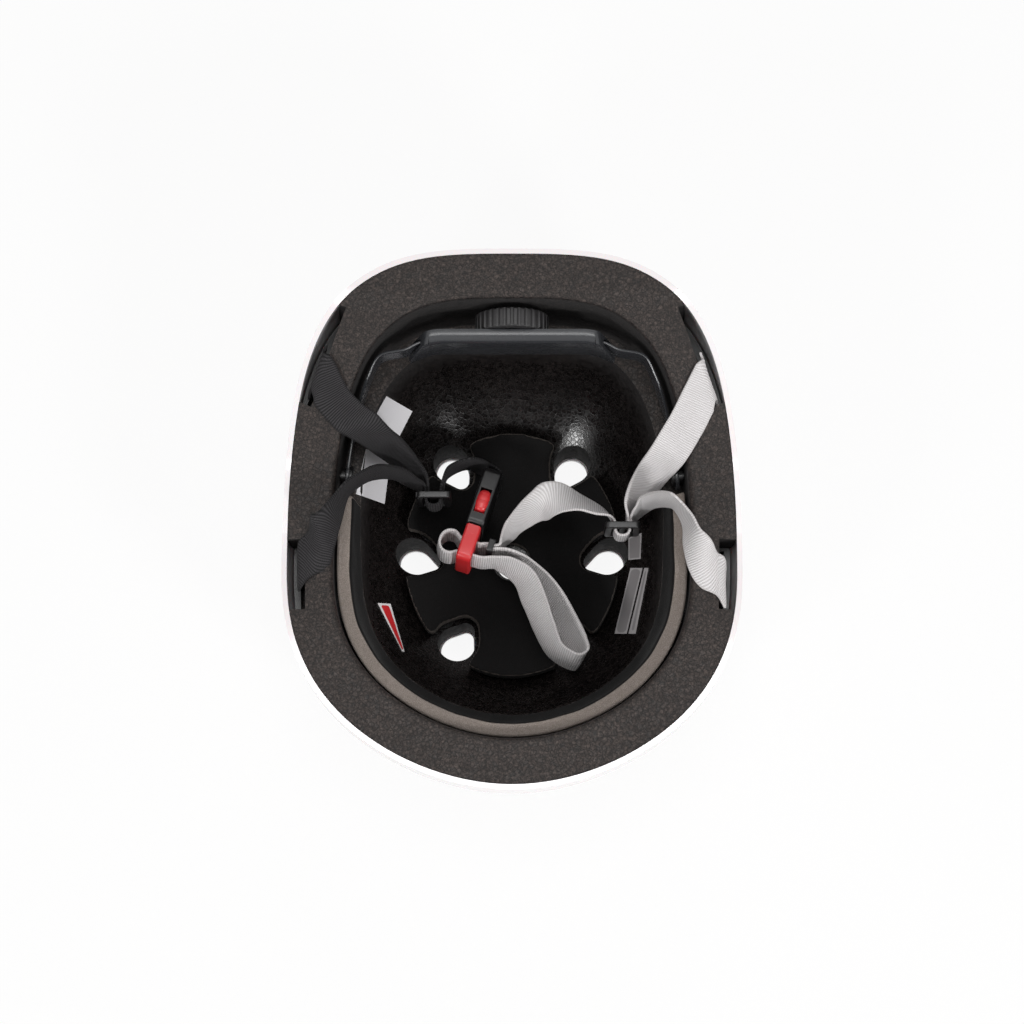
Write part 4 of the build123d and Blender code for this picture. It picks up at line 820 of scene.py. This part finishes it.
def merged_copy(node: str) -> bmesh.types.BMesh:
    """Copies the surface of a CAD node and merges the doubled corners of its faces.

    Args:
        node: The CAD node.

    Returns:
        The copy.
    """
    shape = bmesh.new()
    shape.from_mesh(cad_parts[node].data)
    bmesh.ops.remove_doubles(shape, verts=shape.verts, dist=0.002 * MM)
    return shape


def rounded(shape: bmesh.types.BMesh, edges: Sequence[bmesh.types.BMEdge], radius: float, steps: int,
            clamped: bool = True) -> None:
    """Rounds edges of a mesh.

    Args:
        shape: The mesh.
        edges: The edges.
        radius: Radius of the rounding.
        steps: Steps in it.
        clamped: Roundings stop where they would meet.
    """
    bmesh.ops.bevel(shape, geom=edges, offset=radius, offset_type="OFFSET", segments=steps, profile=0.5,
                    affect="EDGES", clamp_overlap=clamped, material=-1)


def eased_copy(node: str, name: str, edge: float, finish: bpy.types.Material, body: Body, slot: Slot,
               sharp: float = 32.0, segments: int = 2, crest: float = 0.0) -> bpy.types.Object:
    """A moulded piece with its edges rounded, in place of its solid.

    Args:
        node: The CAD node.
        name: Name of the new piece.
        edge: Radius of the moulded edges.
        finish: Its material.
        body: Body it rides on.
        slot: Its material slot.
        sharp: Edges at more than this angle, in degrees, are rounded.
        segments: Steps in each rounding.
        crest: Larger radius of the edges between the top and the front, if any.

    Returns:
        The piece.
    """
    shape = merged_copy(node)
    bmesh.ops.dissolve_limit(shape, angle_limit=FLAT_ANGLE, verts=shape.verts, edges=shape.edges,
                             use_dissolve_boundaries=False)
    if crest:
        shape.normal_update()
        top = max(v.co.z for v in shape.verts)
        front = [e for e in shape.edges if len(e.link_faces) == 2
                 and min(v.co.z for v in e.verts) > top - TOP_LAYER
                 and max(f.normal.z for f in e.link_faces) > UPWARD
                 and min(f.normal.y for f in e.link_faces) < -FORWARD]
        rounded(shape, front, crest, CREST_STEPS, False)
    hard = [e for e in shape.edges if len(e.link_faces) == 2 and e.calc_face_angle(0.0) > math.radians(sharp)]
    rounded(shape, hard, edge, segments)
    bmesh.ops.triangulate(shape, faces=[f for f in shape.faces if len(f.verts) > 4])
    piece = add_piece(name, shape, [finish])
    return hand_over(piece, body, slot, node)


@dataclass
class Course:
    """Smooth course of a flat strip through rows of centre and width direction, in millimetres."""

    rows: Rows
    step: float = 1.2 * MM

    def __post_init__(self) -> None:
        """Works out the fine stations and the length along them."""
        rows = [(Vector(row[:3]) * MM, Vector(row[3:]).normalized()) for row in self.rows]
        first, last = rows[0], rows[-1]
        ends = [(first[0] * 2 - rows[1][0], first[1])] + rows + [(last[0] * 2 - rows[-2][0], last[1])]
        self.centres: list[Vector] = []
        self.widths: list[Vector] = []
        for before, near, far, after in zip(ends, ends[1:], ends[2:], ends[3:]):
            gap = (far[0] - near[0]).length
            count = max(1, round(gap / self.step))
            shares = gap / ((near[0] - before[0]).length + gap), gap / ((after[0] - far[0]).length + gap)
            for k in range(count):
                spot = [self.between(before[i], near[i], far[i], after[i], k / count, shares) for i in (0, 1)]
                self.centres.append(spot[0])
                self.widths.append(spot[1].normalized())
        self.centres.append(last[0])
        self.widths.append(last[1])
        self.runs = [0.0]
        for near, far in zip(self.centres, self.centres[1:]):
            self.runs.append(self.runs[-1] + (far - near).length)

    @staticmethod
    def between(before: Vector, near: Vector, far: Vector, after: Vector, t: float,
                shares: tuple[float, float]) -> Vector:
        """A point of the smooth curve from near to far.

        Args:
            before: The row before near.
            near: Where the stretch starts.
            far: Where it ends.
            after: The row after far.
            t: Share of the stretch.
            shares: The stretch's part of the two rows around near, and around far.

        Returns:
            The point.
        """
        ease = t * t * (3 - 2 * t)
        return (near * (1 - ease) + far * ease + (far - before) * (shares[0] * t * (1 - t) ** 2)
                - (after - near) * (shares[1] * t * t * (1 - t)))

    def frame_at(self, place: float) -> tuple[Vector, Vector, Vector, float, float]:
        """Centre, crossing line, lift, length and lean at a share of the stations.

        Args:
            place: From 0 at the first station to 1 at the last.

        Returns:
            The centre, the crossing line of a strip one metre wide, the unit normal, the length
            so far and how far the line leans forward for each metre of width.
        """
        last = len(self.centres) - 1
        i = min(max(round(place * last), 0), last)
        ahead, behind = self.centres[min(i + 1, last)], self.centres[max(i - 1, 0)]
        along = (ahead - behind).normalized()
        lean = max(min(along.dot(self.widths[i]), MAX_LEAN), -MAX_LEAN)
        slant = math.sqrt(1 - lean * lean)
        lift = along.cross(self.widths[i]).normalized()
        return self.centres[i], self.widths[i] / slant, lift, self.runs[i], lean / slant


@dataclass
class Strip:
    """A flat strip of webbing or plastic that follows a course."""

    name: str
    course: Course
    width: float
    wall: float
    across: int = 8
    cup: float = 0.0
    edge: float = 0.35 * MM
    ripple: float = 0.0
    ripple_length: float = 11 * MM

    def mesh(self) -> bmesh.types.BMesh:
        """Bends a sheet along the course.

        Returns:
            The sheet without thickness, with its map in metres.
        """
        shape = bmesh.new()
        shape.loops.layers.uv.new("course")
        bmesh.ops.create_grid(shape, x_segments=len(self.course.centres) - 1, y_segments=self.across,
                              size=0.5, calc_uvs=True)
        course_map = shape.loops.layers.uv.active
        spots: dict[bmesh.types.BMVert, tuple[float, float]] = {}
        for corner in shape.verts:
            share = corner.co.y
            centre, side, lift, run, lean = self.course.frame_at(corner.co.x + 0.5)
            spots[corner] = ((share + 0.5) * self.width, run + lean * share * self.width)
            wave = noise.noise(Vector((run / self.ripple_length, share * 1.5, len(self.name))))
            rise = self.cup * (1 - 4 * share * share) + self.ripple * wave
            corner.co = centre + side * (share * self.width) + lift * rise
        for face in shape.faces:
            for loop in face.loops:
                loop[course_map].uv = spots[loop.vert]
        return shape

    def build(self, finish: bpy.types.Material) -> bpy.types.Object:
        """Adds thickness and soft edges, and applies both.

        Args:
            finish: The strip's material.

        Returns:
            The piece.
        """
        piece = add_piece(self.name, self.mesh(), [finish], 180.0)
        wall = piece.modifiers.new("wall", "SOLIDIFY")
        wall.thickness, wall.offset, wall.use_even_offset = self.wall, 0.0, False
        if self.edge:
            soften(piece, self.edge, 2, 60)
        settle(piece)
        return piece


@dataclass
class ShellAndLiner:
    """Hard shell and bead foam liner, both true to their solids."""

    finishes: Finishes
    mark_pixels: tuple[tuple[float, float], ...] = ((459, 450), (573, 450), (466, 655))
    mark_radius: float = 2.1 * MM
    dot_radius: float = 0.33 * MM
    dot_height: float = 0.35 * MM
    dot_taper: float = 0.7
    rings: tuple[tuple[float, int], ...] = ((0.0, 1), (0.5, 5), (1.0, 10))

    def build(self) -> None:
        """Dresses the solids and adds the marks of the mould's vents."""
        dress_node("outer_shell", self.finishes.shell)
        dress_node("eps_liner", self.finishes.foam)
        dress_node("pad_hook_patches", self.finishes.hook)
        dress_node("strap_anchors", self.finishes.trim)
        self.mould_marks()

    def mould_marks(self) -> None:
        """Clusters of small dots that the mould's steam vents leave in the foam."""
        liner = surface_of("eps_liner")
        shape = bmesh.new()
        for pixel in self.mark_pixels:
            hit, normal = Camera.first_hit(pixel, [liner])
            if hit is None:
                continue
            turn = normal.to_track_quat("Z", "Y").to_matrix().to_4x4()
            for ring, count in self.rings:
                for k in range(count):
                    angle = 2 * math.pi * k / count
                    spot = Vector((math.cos(angle), math.sin(angle), 0)) * ring * self.mark_radius
                    place = Matrix.Translation(hit) @ turn @ Matrix.Translation(spot)
                    bmesh.ops.create_cone(shape, cap_ends=True, segments=10, radius1=self.dot_radius,
                                          radius2=self.dot_radius * self.dot_taper,
                                          depth=self.dot_height, matrix=place)
        piece = add_piece("foam_vent_marks", shape, [self.finishes.foam_mark])
        hand_over(piece, Body.HELMET, Slot.FOAM)


def surface_of(node: str) -> BVHTree:
    """Makes a CAD node's surface ready for rays.

    Args:
        node: The CAD node.

    Returns:
        A search tree.
    """
    shape = bmesh.new()
    shape.from_mesh(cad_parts[node].data)
    tree = BVHTree.FromBMesh(shape)
    shape.free()
    return tree


class Camera:
    """The photograph's camera: above the open bowl, a little to the front."""

    TARGET = Vector((0, 13 * MM, 75 * MM))
    DISTANCE = 1300 * MM
    TILT = math.radians(11.0)
    FOCAL_PIXELS = 2677.0
    SENSOR = 36.0
    CLIP = (0.05, 20.0)

    @classmethod
    def place(cls) -> Vector:
        """Position of the lens."""
        return cls.TARGET + cls.backward() * cls.DISTANCE

    @classmethod
    def backward(cls) -> Vector:
        """Unit vector from the target to the lens."""
        return Vector((0, -math.sin(cls.TILT), math.cos(cls.TILT)))

    @classmethod
    def upward(cls) -> Vector:
        """Up in the picture."""
        return Vector((0, math.cos(cls.TILT), math.sin(cls.TILT)))

    @classmethod
    def ray(cls, pixel: tuple[float, float]) -> Vector:
        """Looks through a pixel.

        Args:
            pixel: Place in the photograph.

        Returns:
            The direction of sight.
        """
        right = (pixel[0] - IMAGE_SIDE / 2) / cls.FOCAL_PIXELS
        up = (IMAGE_SIDE / 2 - pixel[1]) / cls.FOCAL_PIXELS
        return (Vector((right, 0, 0)) + cls.upward() * up - cls.backward()).normalized()

    @classmethod
    def first_hit(cls, pixel: tuple[float, float],
                  trees: Sequence[BVHTree]) -> tuple[Vector | None, Vector | None]:
        """Nearest surface behind a pixel.

        Args:
            pixel: Place in the photograph.
            trees: Surfaces that may be met.

        Returns:
            The point and the normal towards the camera, or nothing.
        """
        best: tuple[float, Vector | None, Vector | None] = (math.inf, None, None)
        for tree in trees:
            hit, normal, _, reach = tree.ray_cast(cls.place(), cls.ray(pixel))
            if hit is not None and reach < best[0]:
                facing = normal if normal.dot(cls.ray(pixel)) < 0 else -normal
                best = (reach, hit, facing)
        return best[1], best[2]

    def build(self) -> None:
        """Adds the camera to the scene."""
        data = bpy.data.cameras.new("camera")
        data.sensor_width = self.SENSOR
        data.lens = self.FOCAL_PIXELS * self.SENSOR / IMAGE_SIDE
        data.clip_start, data.clip_end = self.CLIP
        eye = linked("camera", data)
        eye.location = self.place()
        eye.rotation_euler = (self.TILT, 0, 0)
        bpy.context.scene.camera = eye


@dataclass
class ComfortPads:
    """Forehead and crown pads: brushed cloth on cut foam."""

    finishes: Finishes
    form: HelmetForm = field(default_factory=HelmetForm)
    inset: float = 24.1 * MM
    recess: float = 20.6 * MM
    lift: float = 1.25 * MM
    foam: float = 7.6 * MM
    low_front: float = 66.4 * MM
    low_rise: float = 34.0 * MM
    top_front: float = 115.5 * MM
    top_fall: float = 16.0 * MM
    end_y: float = 14.5 * MM
    corner: float = 1.3 * MM
    pinch: float = 0.7 * MM
    guide_z: float = 95 * MM
    end_radius: float = 80.5 * MM
    slack: float = 0.5 * MM
    brow_steps: int = 220
    crown_voxel: float = 1.15 * MM
    crown_rounds: int = 9
    crown_swell: float = 0.35 * MM
    crown_wave: float = 17 * MM
    crown_cut: float = 0.46
    cut_facing: tuple[float, float] = (0.5, 0.9)    # from cut foam to cloth, by slant
    fold: tuple[float, float] = (9.0, 2.2)      # degrees of one fold, folds up the height
    sag: float = 14.0                           # degrees of one sag of the top edge

    def build(self) -> None:
        """Both pads."""
        self.brow()
        self.crown()

    def section(self) -> list[tuple[float, float, float]]:
        """Section of the forehead pad.

        Returns:
            Rows of depth share, height share and foam share, from the outer face's foot round
            over the top and down the inner face. Corners are rounded by the mesh's bevel.
        """
        rows = [(0.0, k / 8, 1.0) for k in range(9)]
        rows += [(k / 5, 1.0, 1.0) for k in range(1, 5)]
        rows += [(1.0, 1 - k / 14, 0.0) for k in range(15)]
        rows += [(1 - k / 4, 0.0, 1.0) for k in range(1, 4)]
        return rows

    def brow_point(self, along: float, depth: float, height: float) -> Vector:
        """A point of the forehead pad.

        Args:
            along: Share of the way round, from the left end to the right end.
            depth: Share of the thickness, from the foam wall to the head.
            height: Share of the height, from the ledge to the top edge.

        Returns:
            The point.
        """
        reach = math.degrees(math.asin((self.end_y - self.form.widest_y) / self.end_radius))
        angle = 180 - reach + along * (180 + 2 * reach)
        pinched = self.pinch * (abs(2 * height - 1) ** 6) * depth
        fold = noise.noise(Vector((angle / self.fold[0], height * self.fold[1], 3)))
        wave = self.slack * depth * (fold - 0.35)
        inset = self.inset + self.lift + self.foam * depth - pinched + min(wave, 0)
        crown = self.recess + self.lift + self.foam * depth
        y = self.form.wall(angle, self.guide_z, inset, crown).y
        low = self.low_front + (y / self.form.length + 0.5) * self.low_rise
        top = self.top_front - (y / self.form.length + 0.5) * self.top_fall
        sag = self.slack * depth * height * noise.noise(Vector((angle / self.sag, 0, 8)))
        return self.form.wall(angle, low + (top - low) * height + min(sag, 0), inset, crown)

    def brow(self) -> None:
        """The U shaped forehead pad, standing on the ledge."""
        rows = self.section()
        shape = bmesh.new()
        bmesh.ops.create_grid(shape, x_segments=self.brow_steps, y_segments=len(rows), size=0.5)
        cut = shape.verts.layers.float.new("cut_edge")
        for corner in shape.verts:
            depth, height, foam = rows[round((corner.co.y + 0.5) * len(rows)) % len(rows)]
            along = corner.co.x + 0.5
            corner[cut] = 1.0 if along in (0.0, 1.0) else foam
            corner.co = self.brow_point(along, depth, height)
        bmesh.ops.remove_doubles(shape, verts=shape.verts, dist=0.01 * MM)
        bmesh.ops.holes_fill(shape, edges=[e for e in shape.edges if e.is_boundary])
        bmesh.ops.recalc_face_normals(shape, faces=shape.faces)
        piece = add_piece("forehead_pad", shape, [self.finishes.pad], 180.0)
        soften(piece, self.corner, 3, 50)
        settle(piece)
        hand_over(piece, Body.HELMET, Slot.PAD_CLOTH, "brow_pad")

    def crown(self) -> None:
        """The lobed crown pad, softened from its solid, with a foam edge all round."""
        piece = add_piece("crown_cushion", merged_copy("crown_pad"), [self.finishes.pad], 180.0)
        grid = piece.modifiers.new("grid", "REMESH")
        grid.mode, grid.voxel_size, grid.adaptivity = "VOXEL", self.crown_voxel, 0.0
        settle(piece)
        shape = bmesh.new()
        shape.from_mesh(piece.data)
        relax(shape, shape.verts, self.crown_rounds)
        cut = shape.verts.layers.float.new("cut_edge")
        middle = Vector((0, self.form.crown_y, self.form.crown_depth))
        low, high = self.cut_facing
        for corner in shape.verts:
            facing = abs(corner.normal.dot((middle - corner.co).normalized()))
            corner[cut] = self.crown_cut * (1 - min(max((facing - low) / (high - low), 0), 1))
            wave = noise.noise(corner.co / self.crown_wave) * self.crown_swell
            corner.co += corner.normal * (self.crown_swell + min(wave, 0))
        shape.to_mesh(piece.data)
        shape.free()
        hand_over(piece, Body.HELMET, Slot.PAD_CLOTH, "crown_pad")


@dataclass
class Harness:
    """Straps, dividers and the buckle's webbing."""

    finishes: Finishes
    width: float = 17.6 * MM
    wall: float = 1.25 * MM
    divider_edge: float = 0.35 * MM
    ripple: float = 0.35 * MM
    black_cup: float = 0.2 * MM
    white_cup: float = 0.35 * MM
    # Where webbing leaves the helmet and where it meets the plug, in millimetres
    crossing_bend: tuple[Place, Place] = ((50, 3, 83), (-3, 1, 64))
    tail_bend: tuple[Place, Place] = ((70, -125, 85), (-6, -9, 64))

    def build(self) -> None:
        """Every strap and divider."""
        self.strap("rear_strap_left", REAR_LEFT_COURSE, False, "strap_rear_left")
        self.strap("front_strap_left", FRONT_LEFT_COURSE, False, "strap_front_left")
        self.strap("rear_strap_right", REAR_RIGHT_COURSE, True, "strap_rear_right")
        self.strap("front_strap_right", FRONT_RIGHT_COURSE, True, "strap_front_right")
        self.strap("chin_webbing_left", CHIN_LEFT_COURSE, False, "chin_strap_left")
        crossing = self.strip("chin_webbing_right", CHIN_RIGHT_COURSE, True)
        hand_between(crossing, Body.PLUG, Slot.WEBBING_WHITE, *self.crossing_bend, "chin_strap_right")
        tail = self.strip("chin_webbing_tail", CHIN_TAIL_COURSE, True)
        hand_between(tail, Body.PLUG, Slot.WEBBING_WHITE, *self.tail_bend, "chin_strap_tail")
        for side in ("left", "right"):
            eased_copy(f"divider_{side}", f"strap_divider_{side}", self.divider_edge, self.finishes.trim,
                       Body.HELMET, Slot.TRIM_BLACK)

    def strip(self, name: str, rows: Rows, white: bool) -> bpy.types.Object:
        """Makes one length of webbing.

        Args:
            name: The piece's name.
            rows: Its course.
            white: White webbing rather than black.

        Returns:
            The piece.
        """
        finish = self.finishes.web_white if white else self.finishes.web_black
        cup = self.white_cup if white else self.black_cup
        return Strip(name, Course(rows), self.width, self.wall, cup=cup, ripple=self.ripple).build(finish)

    def strap(self, name: str, rows: Rows, white: bool, node: str) -> None:
        """A length of webbing that stays with the helmet."""
        slot = Slot.WEBBING_WHITE if white else Slot.WEBBING_BLACK
        hand_over(self.strip(name, rows, white), Body.HELMET, slot, node)


@dataclass
class Buckle:
    """Side release buckle, with the keeper of the loose end."""

    finishes: Finishes
    socket_edge: float = 0.35 * MM
    plug_edge: float = 0.4 * MM
    prong_edge: float = 0.45 * MM
    keeper_edge: float = 0.25 * MM
    along: Vector = field(default_factory=lambda: Vector((-0.30849, -0.938276, 0.156434)))
    upward: Vector = field(default_factory=lambda: Vector((0.04886, 0.148608, 0.987688)))
    middle: Vector = field(default_factory=lambda: Vector((-16.6961, 11.4128, 61.26)) * MM)
    half_width: float = 12.6 * MM
    pad: tuple[float, float, float] = (3.3 * MM, 5.7 * MM, 2.3 * MM)
    pad_place: float = -6.0 * MM
    bulge: tuple[float, float, float] = (2.6, 2.6, 2.2)     # powers of a rounded box
    bulge_root: float = 2.5
    groove_depth: float = 0.05
    groove_rate: float = 12.0       # radians over the pad's half length

    def build(self) -> None:
        """The buckle's four pieces and the keeper."""
        trim, red = self.finishes.trim, self.finishes.red
        for node, name, edge, finish, body, slot in (
                ("buckle_female", "buckle_socket", self.socket_edge, trim, Body.HELMET, Slot.TRIM_BLACK),
                ("buckle_male", "buckle_plug", self.plug_edge, red, Body.PLUG, Slot.BUCKLE_RED),
                ("prong_upper", "squeeze_prong_upper", self.prong_edge, red, Body.UPPER_PRONG,
                 Slot.BUCKLE_RED),
                ("prong_lower", "squeeze_prong_lower", self.prong_edge, red, Body.LOWER_PRONG,
                 Slot.BUCKLE_RED),
                ("strap_keeper", "tail_keeper", self.keeper_edge, trim, Body.PLUG, Slot.TRIM_BLACK)):
            eased_copy(node, name, edge, finish, body, slot)
        self.grips(Body.UPPER_PRONG, 1)
        self.grips(Body.LOWER_PRONG, -1)

    def grips(self, body: Body, side: int) -> None:
        """Adds the bulging thumb pad of a prong, with three shallow grooves across it.

        Args:
            body: The prong's body.
            side: 1 for the upper prong, -1 for the lower.
        """
        shape = bmesh.new()
        made = bmesh.ops.create_uvsphere(shape, u_segments=40, v_segments=28, radius=1.0)
        for corner in made["verts"]:
            ball = corner.co.copy()
            bulk = sum(abs(v) ** power for v, power in zip(ball, self.bulge)) ** (-1 / self.bulge_root)
            wave = max(math.cos(ball.y * bulk * self.groove_rate), 0) ** 3
            groove = self.groove_depth * wave if ball.z > 0 else 0.0
            corner.co = Vector([v * size for v, size in zip(ball, self.pad)]) * (bulk - groove)
        across = self.along.cross(self.upward).normalized() * side
        turn = Matrix((across, self.along, self.upward * side)).transposed().to_4x4()
        spot = self.middle + self.along * self.pad_place + self.upward * (side * self.half_width)
        bmesh.ops.transform(shape, matrix=Matrix.Translation(spot) @ turn, verts=shape.verts)
        bmesh.ops.recalc_face_normals(shape, faces=shape.faces)
        piece = add_piece(f"prong_pad_{'upper' if side > 0 else 'lower'}", shape, [self.finishes.red])
        hand_over(piece, body, Slot.BUCKLE_RED)


@dataclass
class DialAdjuster:
    """Rear fit adjuster: housing, knob, racks and the bands to the sides."""

    finishes: Finishes
    housing_edge: float = 0.6 * MM
    housing_crest: float = 4.2 * MM
    knob_edge: float = 0.3 * MM
    base_edge: float = 0.25 * MM
    band_height: float = 13 * MM
    band_wall: float = 1.2 * MM
    eye_radius: float = 7.2 * MM
    eye_wall: float = 1.8 * MM
    eye_edge: float = 0.3 * MM
    band_edge: float = 0.25 * MM
    # Where the right band leaves the helmet and meets the cradle, in millimetres
    band_bend: tuple[Place, Place] = ((68, 60, 110), (42, 84, 124))

    def build(self) -> None:
        """The housing with everything in and on it."""
        grey = self.finishes.adjuster
        eased_copy("dial_housing", "adjuster_cover", self.housing_edge, grey, Body.CRADLE,
                   Slot.ADJUSTER_GREY, sharp=40, segments=3, crest=self.housing_crest)
        eased_copy("dial_base", "adjuster_base", self.base_edge, grey, Body.CRADLE, Slot.ADJUSTER_GREY)
        eased_copy("dial_knob", "adjuster_knob", self.knob_edge, self.finishes.knob, Body.DIAL,
                   Slot.KNOB_BLACK)
        dress_node("dial_screw", self.finishes.steel)
        for node in ("pinion", "rack_left", "rack_right"):
            dress_node(node, self.finishes.nylon)
        dress_node("band_anchor_pins", self.finishes.trim)
        self.band("fit_band_left", BAND_LEFT_COURSE, -1, "band_left")
        self.band("fit_band_right", BAND_RIGHT_COURSE, 1, "band_right")

    def band(self, name: str, rows: Rows, side: int, node: str) -> None:
        """A band with its eye, running from the pin to the adjuster.

        Args:
            name: The piece's name.
            rows: Its course.
            side: -1 on the left, 1 on the right.
            node: The solid that it stands for.
        """
        strip = Strip(name, Course(rows, 2 * MM), self.band_height, self.band_wall, across=6,
                      edge=self.band_edge).build(self.finishes.adjuster)
        shape = bmesh.new()
        shape.from_mesh(strip.data)
        eye, _, facing, _, _ = Course(rows).frame_at(1.0)
        turn = facing.to_track_quat("Z", "Y").to_matrix().to_4x4()
        made = bmesh.ops.create_cone(shape, cap_ends=True, segments=48, radius1=self.eye_radius,
                                     radius2=self.eye_radius, depth=self.eye_wall,
                                     matrix=Matrix.Translation(eye) @ turn)
        rims = {e for v in made["verts"] for e in v.link_edges if e.calc_face_angle(0.0) > 1.0}
        rounded(shape, list(rims), self.eye_edge, 2)
        piece = add_piece(name + "_made", shape, [self.finishes.adjuster])
        bpy.data.objects.remove(strip)
        piece.name = name
        start, end = ((side * x, y, z) for x, y, z in self.band_bend)
        hand_between(piece, Body.CRADLE, Slot.ADJUSTER_GREY, start, end, node)


class LabelKind(Enum):
    """Colours of the blank labels."""

    WHITE = "white"
    RED = "red"
    # Painted shade: pale labels greyed for the shade they lie in
    PAINTED_SHADE = "grey"


@dataclass
class BlankLabels:
    """Blank labels that lie on the bowl where the photograph shows labels."""

    finishes: Finishes
    lift: float = 0.3 * MM
    wall: float = 0.16 * MM
    pixel: float = 0.48 * MM
    steps: int = 14
    corners: tuple[tuple[str, LabelKind, tuple[tuple[float, float], ...]], ...] = (
        ("label_upper", LabelKind.WHITE, ((386, 396), (412, 411), (398, 438), (372, 421))),
        ("label_lower", LabelKind.WHITE, ((366, 449), (390, 457), (384, 504), (356, 494))),
        ("label_red", LabelKind.RED, ((377, 603), (390, 604), (404, 652), (402, 652))),
        # The three side labels are grey as painted shade
        ("label_side_short", LabelKind.PAINTED_SHADE, ((629, 538), (642, 533), (641, 559), (629, 560))),
        ("label_side_long", LabelKind.PAINTED_SHADE, ((631, 568), (643, 568), (627, 634), (615, 634))),
        ("label_side_thin", LabelKind.PAINTED_SHADE, ((645, 568), (649, 568), (636, 634), (629, 634))),
    )

    def build(self) -> None:
        """Every label."""
        ground = [surface_of("eps_liner"), surface_of("brow_pad"), surface_of("crown_pad")]
        finish = {LabelKind.WHITE: self.finishes.label_white, LabelKind.RED: self.finishes.label_red,
                  LabelKind.PAINTED_SHADE: self.finishes.label_painted_shade}
        for name, kind, pixels in self.corners:
            self.label(name, finish[kind], pixels, ground)

    def label(self, name: str, finish: bpy.types.Material, pixels: tuple[tuple[float, float], ...],
              ground: list[BVHTree]) -> None:
        """A thin film lying on what is behind its corners in the photograph.

        Args:
            name: The piece's name.
            finish: Its material.
            pixels: Corners in the photograph, in order round the label.
            ground: Surfaces that it may lie on.
        """
        shape = bmesh.new()
        shape.loops.layers.uv.new("course")
        bmesh.ops.create_grid(shape, x_segments=self.steps, y_segments=self.steps, size=0.5, calc_uvs=True)
        course_map = shape.loops.layers.uv.active
        inset = shape.verts.layers.float.new("inset")
        spots: dict[bmesh.types.BMVert, Vector] = {}
        a, b, c, d = (Vector(p) for p in pixels)
        wide, tall = (b - a).length * self.pixel, (d - a).length * self.pixel
        for corner in shape.verts:
            s, t = corner.co.x + 0.5, corner.co.y + 0.5
            pixel = (a * (1 - s) + b * s) * (1 - t) + (d * (1 - s) + c * s) * t
            hit, normal = Camera.first_hit((pixel.x, pixel.y), ground)
            spots[corner] = hit + normal * self.lift if hit is not None else corner.co.copy()
            corner[inset] = min(s * wide, (1 - s) * wide, t * tall, (1 - t) * tall)
        for face in shape.faces:
            for loop in face.loops:
                spot = loop.vert.co
                loop[course_map].uv = ((spot.x + 0.5) * wide, (spot.y + 0.5) * tall)
        for corner, spot in spots.items():
            corner.co = spot
        relax(shape, [v for v in shape.verts if not v.is_boundary], 3)
        piece = add_piece(name, shape, [finish], 180.0)
        film = piece.modifiers.new("film", "SOLIDIFY")
        film.thickness, film.offset = self.wall, 0.0
        settle(piece)
        hand_over(piece, Body.HELMET, Slot.PAD_CLOTH)


@dataclass
class Studio:
    """Pale table, soft lights and a white surround."""

    table_side: float = 5.0
    table_glow: float = 0.9
    aim: Vector = field(default_factory=lambda: Vector((0, 0, 80 * MM)))
    world_light: float = 0.3
    lamps: tuple[tuple[str, tuple[float, float, float], float, float], ...] = (
        ("overhead", (0.0, 0.1, 1.75), 0.6, 6.5),
        ("front_left", (-0.82, -0.95, 1.0), 0.3, 7.0),
        ("front_right", (0.78, -0.92, 1.0), 0.3, 10.0),
        ("back", (0.1, 1.3, 1.2), 0.7, 4.0),
    )

    def build(self) -> None:
        """Table, lamps, world and view settings."""
        shape = bmesh.new()
        bmesh.ops.create_grid(shape, x_segments=1, y_segments=1, size=self.table_side / 2)
        add_piece("table", shape, [self.table_finish()])
        for name, place, side, power in self.lamps:
            data = bpy.data.lights.new(name, "AREA")
            data.shape, data.size, data.energy = "DISK", side, power
            lamp = linked(name, data)
            lamp.location = place
            lamp.rotation_euler = (self.aim - lamp.location).to_track_quat("-Z", "Y").to_euler()
        self.world()
        bpy.context.scene.view_settings.view_transform = "Standard"

    def seen(self, graph: Graph) -> Value:
        """Tells the rays that see the surround from those that only light.

        Args:
            graph: The tree that asks.

        Returns:
            1 for rays of the camera, of reflections and of clear plastic.
        """
        kinds = [graph.node("ShaderNodeLightPath", output=kind)
                 for kind in ("Is Camera Ray", "Is Glossy Ray", "Is Transmission Ray")]
        return kinds[0].most(kinds[1]).most(kinds[2])

    def table_finish(self) -> bpy.types.Material:
        """Builds white laminate that the camera sees almost as pure white, with a faint shadow.

        Returns:
            The material.
        """
        graph = Graph(bpy.data.materials.new("table_white"))
        place = graph.place()
        grain = graph.noise(place, 3 * MM, 3.0)
        paint = graph.principled(graph.blended(grain, *tones("E6E5E4 EEEDEC")), 0.6, {})
        glow = graph.node("ShaderNodeEmission", sockets={"Color": (1, 1, 1, 1), "Strength": 1.0})
        return graph.ended(graph.node("ShaderNodeMixShader", sockets={
            0: self.seen(graph) * self.table_glow, 1: paint, 2: glow}))

    def world(self) -> None:
        """A white surround that lights the object less than it shows."""
        world = bpy.data.worlds.new("surround")
        bpy.context.scene.world = world
        graph = Graph(world)
        strength = self.world_light + self.seen(graph) * (1 - self.world_light)
        graph.ended(graph.node("ShaderNodeBackground", sockets={
            "Color": (1, 1, 1, 1), "Strength": strength}))


def main() -> None:
    """Builds the helmet's looks in order."""
    logging.basicConfig(level=logging.INFO, format="%(message)s")
    Camera().build()
    finishes = Finishes()
    ShellAndLiner(finishes).build()
    ComfortPads(finishes).build()
    Harness(finishes).build()
    Buckle(finishes).build()
    DialAdjuster(finishes).build()
    BlankLabels(finishes).build()
    Studio().build()


if __name__ == "__main__":
    main()
